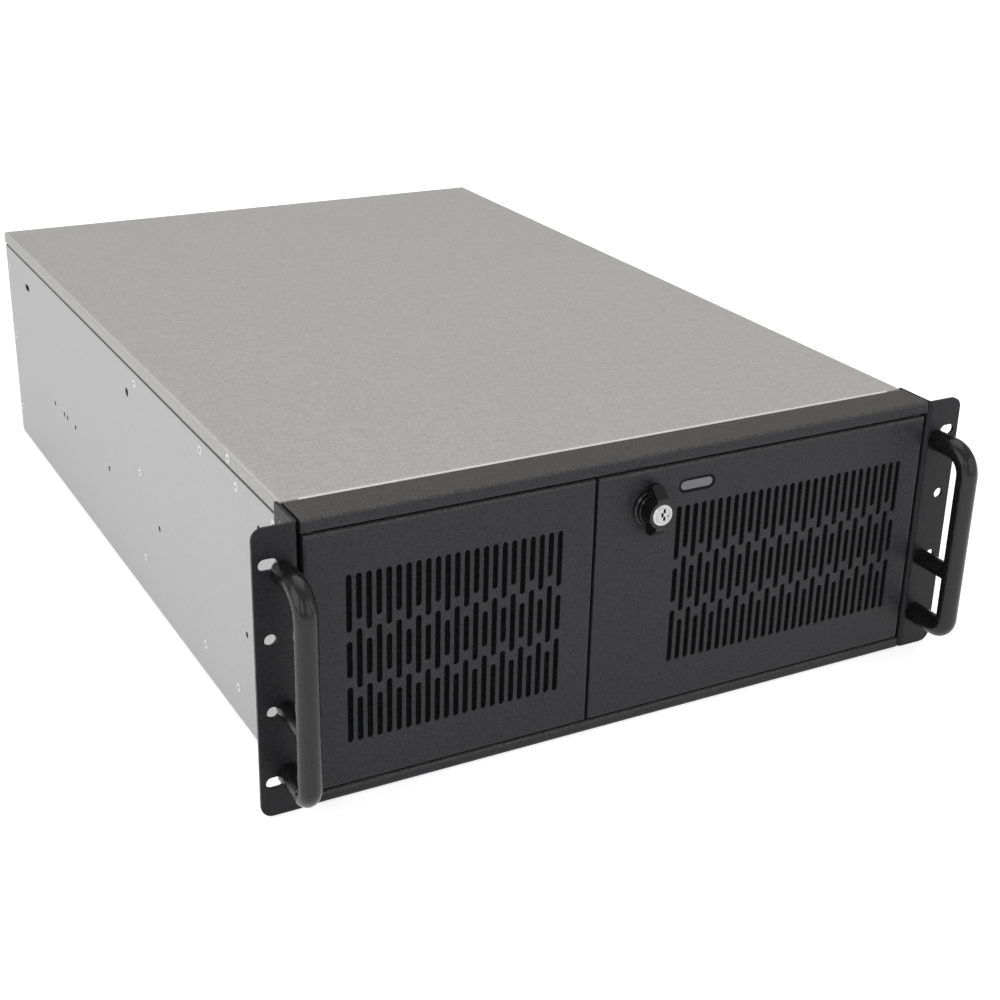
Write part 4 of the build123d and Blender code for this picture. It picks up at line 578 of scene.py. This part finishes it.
def run_tree(name, points, group, values):
    """Plain mesh piece made by running a geometry tree on a cloud of points."""
    mesh = bpy.data.meshes.new(name + "_points")
    mesh.from_pydata([tuple(point) for point in points], [], [])
    cloud = bpy.data.objects.new(name + "_points", mesh)
    bpy.context.scene.collection.objects.link(cloud)
    modifier = cloud.modifiers.new("marks", "NODES")
    modifier.node_group = group
    for item in group.interface.items_tree:
        if item.item_type == "SOCKET" and item.in_out == "INPUT" and item.name in values:
            modifier[item.identifier] = values[item.name]
    evaluated = cloud.evaluated_get(bpy.context.evaluated_depsgraph_get())
    made = bpy.data.meshes.new_from_object(evaluated)
    made.name = name
    piece = bpy.data.objects.new(name, made)
    bpy.context.scene.collection.objects.link(piece)
    bpy.data.objects.remove(cloud)
    return piece


def islands(node):
    """Lowest and highest corners of each separate solid of a node."""
    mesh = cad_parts[node].data
    places = [tuple(round(c, SAME_PLACE) for c in vertex.co) for vertex in mesh.vertices]
    parent = {}

    def find(key):
        """The corner that stands for every corner joined to this one so far."""
        while parent.setdefault(key, key) != key:
            parent[key] = parent[parent[key]]
            key = parent[key]
        return key

    for polygon in mesh.polygons:
        first, *others = [find(places[i]) for i in polygon.vertices]
        for other in others:
            parent[other] = first
    boxes = {}
    for key in set(places):
        low, high = boxes.setdefault(find(key), (list(key), list(key)))
        for axis in range(3):
            low[axis] = min(low[axis], key[axis])
            high[axis] = max(high[axis], key[axis])
    return [(Vector(low), Vector(high)) for low, high in boxes.values()]


def anywhere(low):
    """Picks every solid, whatever its lowest corner."""
    return True


def at_left(low):
    """Picks the solids of the left half."""
    return low.x < 0


def at_right(low):
    """Picks the solids of the right half."""
    return low.x > 0


def head_points(node, axis, side, pick):
    """Middle of each picked solid's end face along an axis, on its low or high side."""
    points = []
    for low, high in islands(node):
        if pick(low):
            point = (low + high) / 2
            point[axis] = (high if side > 0 else low)[axis]
            points.append(point)
    return points


class SERVERCASE_OT_sheet(bpy.types.Operator):
    """Paint the cover, tray, rear panel, front box, doors, ears and rivets"""

    bl_idname = "server_case.sheet"
    bl_label = "Sheet metal finishes"

    def execute(self, context):
        coats = context.scene.server_case_coats
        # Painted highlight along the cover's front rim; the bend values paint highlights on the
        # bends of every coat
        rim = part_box("top_cover")[0].y + RIM_DEPTH
        cover = powder_material(
            "cover powder coat", coats.cover, grain_size=0.0016, grain=0.8, mottle=0.04,
            gloss=0.45, bump=0.4, specular=0.4, bend_highlight=1.4, rim=rim)
        smooth = {"grain_size": 0.0016, "grain": 0.3, "mottle": 0.03, "gloss": 0.45,
                  "bump": 0.15, "specular": 0.4, "bend_highlight": 0.4}
        wall = powder_material("wall coat", coats.wall, **smooth)
        # Painted light on the front coat's upward faces, and painted highlights on its bends
        front = powder_material(
            "front powder coat", coats.front, grain_size=0.0011, grain=3.2, mottle=0.08,
            gloss=0.45, bump=0.6, specular=0.22, bend_highlight=2.6, painted_top_light=0.03)
        # Painted shade: the ears' coat is a darker copy of the front coat
        ear = powder_material(
            "ear powder coat with painted shade", coats.ear, grain_size=0.0011, grain=2.6, mottle=0.08,
            gloss=0.45, bump=0.6, specular=0.2, bend_highlight=1.5)
        rivet = powder_material(
            "rivet coat", RIVET_COAT, grain_size=0.0016, grain=0.1, mottle=0.03,
            gloss=0.35, bump=0.1)
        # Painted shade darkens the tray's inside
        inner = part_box("chassis_tray")[1].x - SKIN_DEPTH
        tray = powder_material("tray coat", coats.wall, inner=inner, **smooth)
        finish_nodes(["top_cover"], cover)
        finish_nodes(["chassis_tray"], tray)
        finish_nodes(["rear_panel"], wall)
        finish_nodes(["side_rivets"], rivet)
        finish_nodes(["front_panel", "center_post", "left_door", "right_door",
                      "left_filter_frame", "right_filter_frame"], front)
        finish_nodes(["left_ear", "right_ear"], ear)
        return {"FINISHED"}


class SERVERCASE_OT_handles(bpy.types.Operator):
    """Satin coat of the two tube handles"""

    bl_idname = "server_case.handles"
    bl_label = "Handles"

    def execute(self, context):
        satin = powder_material(
            "handle satin coat", context.scene.server_case_coats.handle, grain_size=0.0012,
            grain=2.4, mottle=0.1, gloss=0.24, bump=0.18, specular=0.4, bend_highlight=0.9)
        finish_nodes(["left_handle", "right_handle"], satin)
        return {"FINISHED"}


class SERVERCASE_OT_lock(bpy.types.Operator):
    """Black ring and knob, and the nickel key plug"""

    bl_idname = "server_case.lock"
    bl_label = "Lock"

    def execute(self, context):
        body = powder_material(
            "lock black", context.scene.server_case_coats.lock, grain_size=0.0014,
            grain=0.3, mottle=0.1, gloss=0.2, bump=0.05, specular=0.35, bend_highlight=1.5)
        nickel = plug_material("key plug nickel", NICKEL, *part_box("lock_plug"))
        finish_nodes(["lock_barrel", "lock_knob"], body)
        finish_nodes(["lock_plug"], nickel)
        return {"FINISHED"}


class SERVERCASE_OT_filters(bpy.types.Operator):
    """Foam pads behind the vents"""

    bl_idname = "server_case.filters"
    bl_label = "Foam filters"

    def execute(self, context):
        foam = foam_material("filter foam", context.scene.server_case_coats.foam)
        finish_nodes(["left_filter", "right_filter"], foam)
        return {"FINISHED"}


class SERVERCASE_OT_fittings(bpy.types.Operator):
    """Plated steel, moulded plastic, window, circuit board and brass"""

    bl_idname = "server_case.fittings"
    bl_label = "Inner fittings"

    def execute(self, context):
        coats = context.scene.server_case_coats
        zinc = plated_material(
            "bright zinc", ZINC, patch_size=0.012, patch_depth=0.14, gloss=0.36)
        screw = plated_material(
            "zinc screws", NICKEL, patch_size=0.003, patch_depth=0.08, gloss=0.3)
        black = powder_material(
            "blackened screws", coats.lock, grain_size=0.001, grain=0.2, mottle=0.05,
            gloss=0.4, bump=0.1)
        moulded = powder_material(
            "moulded black", coats.moulded, grain_size=0.0014, grain=0.4, mottle=0.1,
            gloss=0.5, bump=0.25, specular=0.25)
        rim = powder_material(
            "window rim", coats.lock, grain_size=0.0014, grain=0.3, mottle=0.1,
            gloss=0.5, bump=0.1, specular=0.08)
        lens = powder_material(
            "clouded window", coats.lens, grain_size=0.0012, grain=0.5, mottle=0.1,
            gloss=0.38, bump=0.3, specular=0.3)
        board = powder_material(
            "solder mask", SOLDER_MASK, grain_size=0.0008, grain=0.15, mottle=0.1,
            gloss=0.35, bump=0.1)
        brass = plated_material(
            "brass posts", BRASS, patch_size=0.003, patch_depth=0.06, gloss=0.28)
        finish_nodes(["drive_cage", "left_brace", "right_brace", "hold_down_bar", "slot_covers",
                      "cover_hooks", "usb_sockets", "lock_cam", "lock_nut", "hinge_pins"], zinc)
        finish_nodes(["cover_screws", "slot_screws", "bar_screws", "cam_screw",
                      "catch_magnets"], screw)
        finish_nodes(["ear_screws", "handle_screws", "fan_screws"], black)
        finish_nodes(["window_bezel"], rim)
        finish_nodes(["bay_cover_1", "bay_cover_2", "bay_cover_3", "left_fan_frame",
                      "right_fan_frame", "left_fan_rotor", "right_fan_rotor", "switch_bodies",
                      "power_button", "reset_button", "hinge_washers"], moulded)
        finish_nodes(["indicator_lens", "status_leds"], lens)
        finish_nodes(["control_board"], board)
        finish_nodes(["board_spacers", "board_standoffs"], brass)
        return {"FINISHED"}


class SERVERCASE_OT_crosses(bpy.types.Operator):
    """Cross recesses in the heads of the screws"""

    bl_idname = "server_case.crosses"
    bl_label = "Screw crosses"

    def execute(self, context):
        sizes = context.scene.server_case_fittings
        material = mark_material("screw recess", *RECESS_GREYS)
        group = build_mark_tree("Screw crosses", material, cross_outline())
        # Piece, its screws, axis and side of their heads, which of them, and a finish name
        rows = (("left_ear_crosses", "ear_screws", 0, -1, at_left, "black_screw"),
                ("right_ear_crosses", "ear_screws", 0, 1, at_right, "black_screw"),
                ("cover_crosses", "cover_screws", 1, 1, anywhere, "zinc"),
                ("fan_crosses", "fan_screws", 1, -1, anywhere, "black_screw"),
                ("handle_crosses", "handle_screws", 1, 1, anywhere, "black_screw"),
                ("slot_crosses", "slot_screws", 2, 1, anywhere, "zinc"),
                ("bar_crosses", "bar_screws", 2, 1, anywhere, "zinc"),
                ("cam_cross", "cam_screw", 1, 1, anywhere, "zinc"))
        for name, node, axis, side, pick, finish in rows:
            low, high = islands(node)[0]
            head = min(c for i, c in enumerate(high - low) if i != axis)
            values = {"Span": head * sizes.cross_span, "Height": sizes.mark_height,
                      "Turn": FACING[axis, side]}
            piece = run_tree(name, head_points(node, axis, side, pick), group, values)
            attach(piece, "lock_knob" if node == "cam_screw" else "chassis")
        return {"FINISHED"}


class SERVERCASE_OT_rivets(bpy.types.Operator):
    """Hollows that the mandrels leave in the rivets"""

    bl_idname = "server_case.rivets"
    bl_label = "Rivet hollows"

    def execute(self, context):
        sizes = context.scene.server_case_fittings
        material = mark_material("rivet hollow", *HOLLOW_GREYS)
        group = build_mark_tree("Rivet hollows", material, None)
        for name, side, pick in (("left_rivet_hollows", -1, at_left),
                                 ("right_rivet_hollows", 1, at_right)):
            values = {"Span": 2 * sizes.rivet_ring, "Height": sizes.mark_height,
                      "Turn": FACING[0, side]}
            piece = run_tree(name, head_points("side_rivets", 0, side, pick), group, values)
            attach(piece, "chassis")
        return {"FINISHED"}


# Colour of the sky, and how far the floor reaches, its gap below the case and its paint
WHITE = (1.0, 1.0, 1.0, 1.0)
FLOOR_REACH = 12.0
FLOOR_GAP = 0.2 * MILLIMETRE
FLOOR_PAINT = (0.86, 0.86, 0.86, 1.0)
# Width of the camera's sensor in millimetres, and how far it sees in metres
SENSOR_WIDTH = 36.0
SIGHT = 50.0


class SERVERCASE_OT_stage(bpy.types.Operator):
    """Floor, lamps, world and camera"""

    bl_idname = "server_case.stage"
    bl_label = "Studio"

    def execute(self, context):
        stage = context.scene.server_case_stage
        self.floor(context, stage)
        self.world(context, stage)
        # Name, place, width and height, and power of each softbox
        lamps = (("side lamp", (-1.7, -0.3, 0.9), (1.4, 1.4), stage.side_lamp),
                 ("top lamp", (0.3, 0.4, 1.9), (1.8, 1.8), stage.top_lamp),
                 ("front lamp", (0.5, -1.9, 0.9), (1.3, 1.3), stage.front_lamp),
                 ("left strip", (-1.1, -1.5, 0.9), (0.14, 1.0), stage.strip_lamp),
                 ("right strip", (1.5, -1.3, 0.8), (0.14, 1.0), stage.strip_lamp))
        for lamp in lamps:
            self.lamp(context, *lamp)
        self.camera(context, stage)
        context.scene.view_settings.view_transform = "Standard"
        return {"FINISHED"}

    def floor(self, context, stage):
        """Large plane whose material reads as white and keeps the shadow."""
        mesh = bpy.data.meshes.new("studio_floor")
        corners = [(-1, -1), (1, -1), (1, 1), (-1, 1)]
        height = WHOLE_LOW.z - FLOOR_GAP
        mesh.from_pydata([(x * FLOOR_REACH, y * FLOOR_REACH, height) for x, y in corners],
                         [], [(0, 1, 2, 3)])
        plane = bpy.data.objects.new("studio_floor", mesh)
        context.scene.collection.objects.link(plane)
        material = bpy.data.materials.new("studio white")
        material.use_nodes = True
        material.node_tree.nodes.clear()
        tree = Tree(material.node_tree)
        matt = tree.add("ShaderNodeBsdfDiffuse", {"Color": FLOOR_PAINT})
        path = tree.add("ShaderNodeLightPath").outputs
        seen = tree.maths("MAXIMUM", path["Is Camera Ray"], path["Is Glossy Ray"])
        strength = tree.maths("MULTIPLY", seen, stage.floor_glow)
        glow = tree.add("ShaderNodeEmission", {"Strength": strength})
        both = tree.add("ShaderNodeAddShader", {0: matt.outputs[0], 1: glow.outputs[0]})
        tree.add("ShaderNodeOutputMaterial", {"Surface": both.outputs[0]})
        mesh.materials.append(material)

    def world(self, context, stage):
        """Even pale light, and white where the camera sees it, also through glass."""
        world = bpy.data.worlds.new("studio")
        context.scene.world = world
        world.use_nodes = True
        world.node_tree.nodes.clear()
        tree = Tree(world.node_tree)
        path = tree.add("ShaderNodeLightPath").outputs
        seen = tree.maths("MAXIMUM", path["Is Camera Ray"], path["Is Transmission Ray"])
        strength = tree.add("ShaderNodeMix", {0: seen, 2: stage.sky, 3: 1.0}).outputs[0]
        sky = tree.add("ShaderNodeBackground", {"Color": WHITE, "Strength": strength})
        tree.add("ShaderNodeOutputWorld", {"Surface": sky.outputs[0]})

    def lamp(self, context, name, place, size, power):
        """Softbox of a width and a height, aimed at the middle of the case."""
        light = bpy.data.lights.new(name, "AREA")
        light.shape = "RECTANGLE"
        light.energy = power
        light.size, light.size_y = size
        holder = bpy.data.objects.new(name, light)
        context.scene.collection.objects.link(holder)
        holder.location = place
        aim = (WHOLE_LOW + WHOLE_HIGH) / 2 - Vector(place)
        holder.rotation_euler = aim.to_track_quat("-Z", "Y").to_euler()

    def camera(self, context, stage):
        """Camera at the photo's place."""
        camera = bpy.data.objects.new("camera", bpy.data.cameras.new("camera"))
        context.scene.collection.objects.link(camera)
        camera.location = stage.camera_place
        camera.rotation_euler = stage.camera_turn
        camera.data.lens = stage.lens
        camera.data.sensor_width = SENSOR_WIDTH
        camera.data.clip_end = SIGHT
        context.scene.camera = camera


OPERATORS = (SERVERCASE_OT_sheet, SERVERCASE_OT_handles, SERVERCASE_OT_lock,
             SERVERCASE_OT_filters, SERVERCASE_OT_fittings, SERVERCASE_OT_crosses,
             SERVERCASE_OT_rivets, SERVERCASE_OT_stage)


class SERVERCASE_PT_panel(bpy.types.Panel):
    """Lists the finishes, fittings and the studio"""

    bl_idname = "SERVERCASE_PT_panel"
    bl_label = "Server case"
    bl_space_type = "VIEW_3D"
    bl_region_type = "UI"
    bl_category = "Server case"

    def draw(self, context):
        for operator in OPERATORS:
            self.layout.operator(operator.bl_idname)
        for group in (context.scene.server_case_coats, context.scene.server_case_fittings,
                      context.scene.server_case_stage):
            box = self.layout.box()
            for name in group.__annotations__:
                box.prop(group, name)


GROUPS = (ServerCaseCoats, ServerCaseFittings, ServerCaseStage)


def register():
    for item in (*GROUPS, *OPERATORS, SERVERCASE_PT_panel):
        bpy.utils.register_class(item)
    bpy.types.Scene.server_case_coats = PointerProperty(type=ServerCaseCoats)
    bpy.types.Scene.server_case_fittings = PointerProperty(type=ServerCaseFittings)
    bpy.types.Scene.server_case_stage = PointerProperty(type=ServerCaseStage)


def unregister():
    del bpy.types.Scene.server_case_coats
    del bpy.types.Scene.server_case_fittings
    del bpy.types.Scene.server_case_stage
    for item in reversed((*GROUPS, *OPERATORS, SERVERCASE_PT_panel)):
        bpy.utils.unregister_class(item)


def main():
    """Registers the add-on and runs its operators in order."""
    register()
    bpy.ops.server_case.sheet()
    bpy.ops.server_case.handles()
    bpy.ops.server_case.lock()
    bpy.ops.server_case.filters()
    bpy.ops.server_case.fittings()
    bpy.ops.server_case.crosses()
    bpy.ops.server_case.rivets()
    bpy.ops.server_case.stage()


if __name__ == "__main__":
    main()
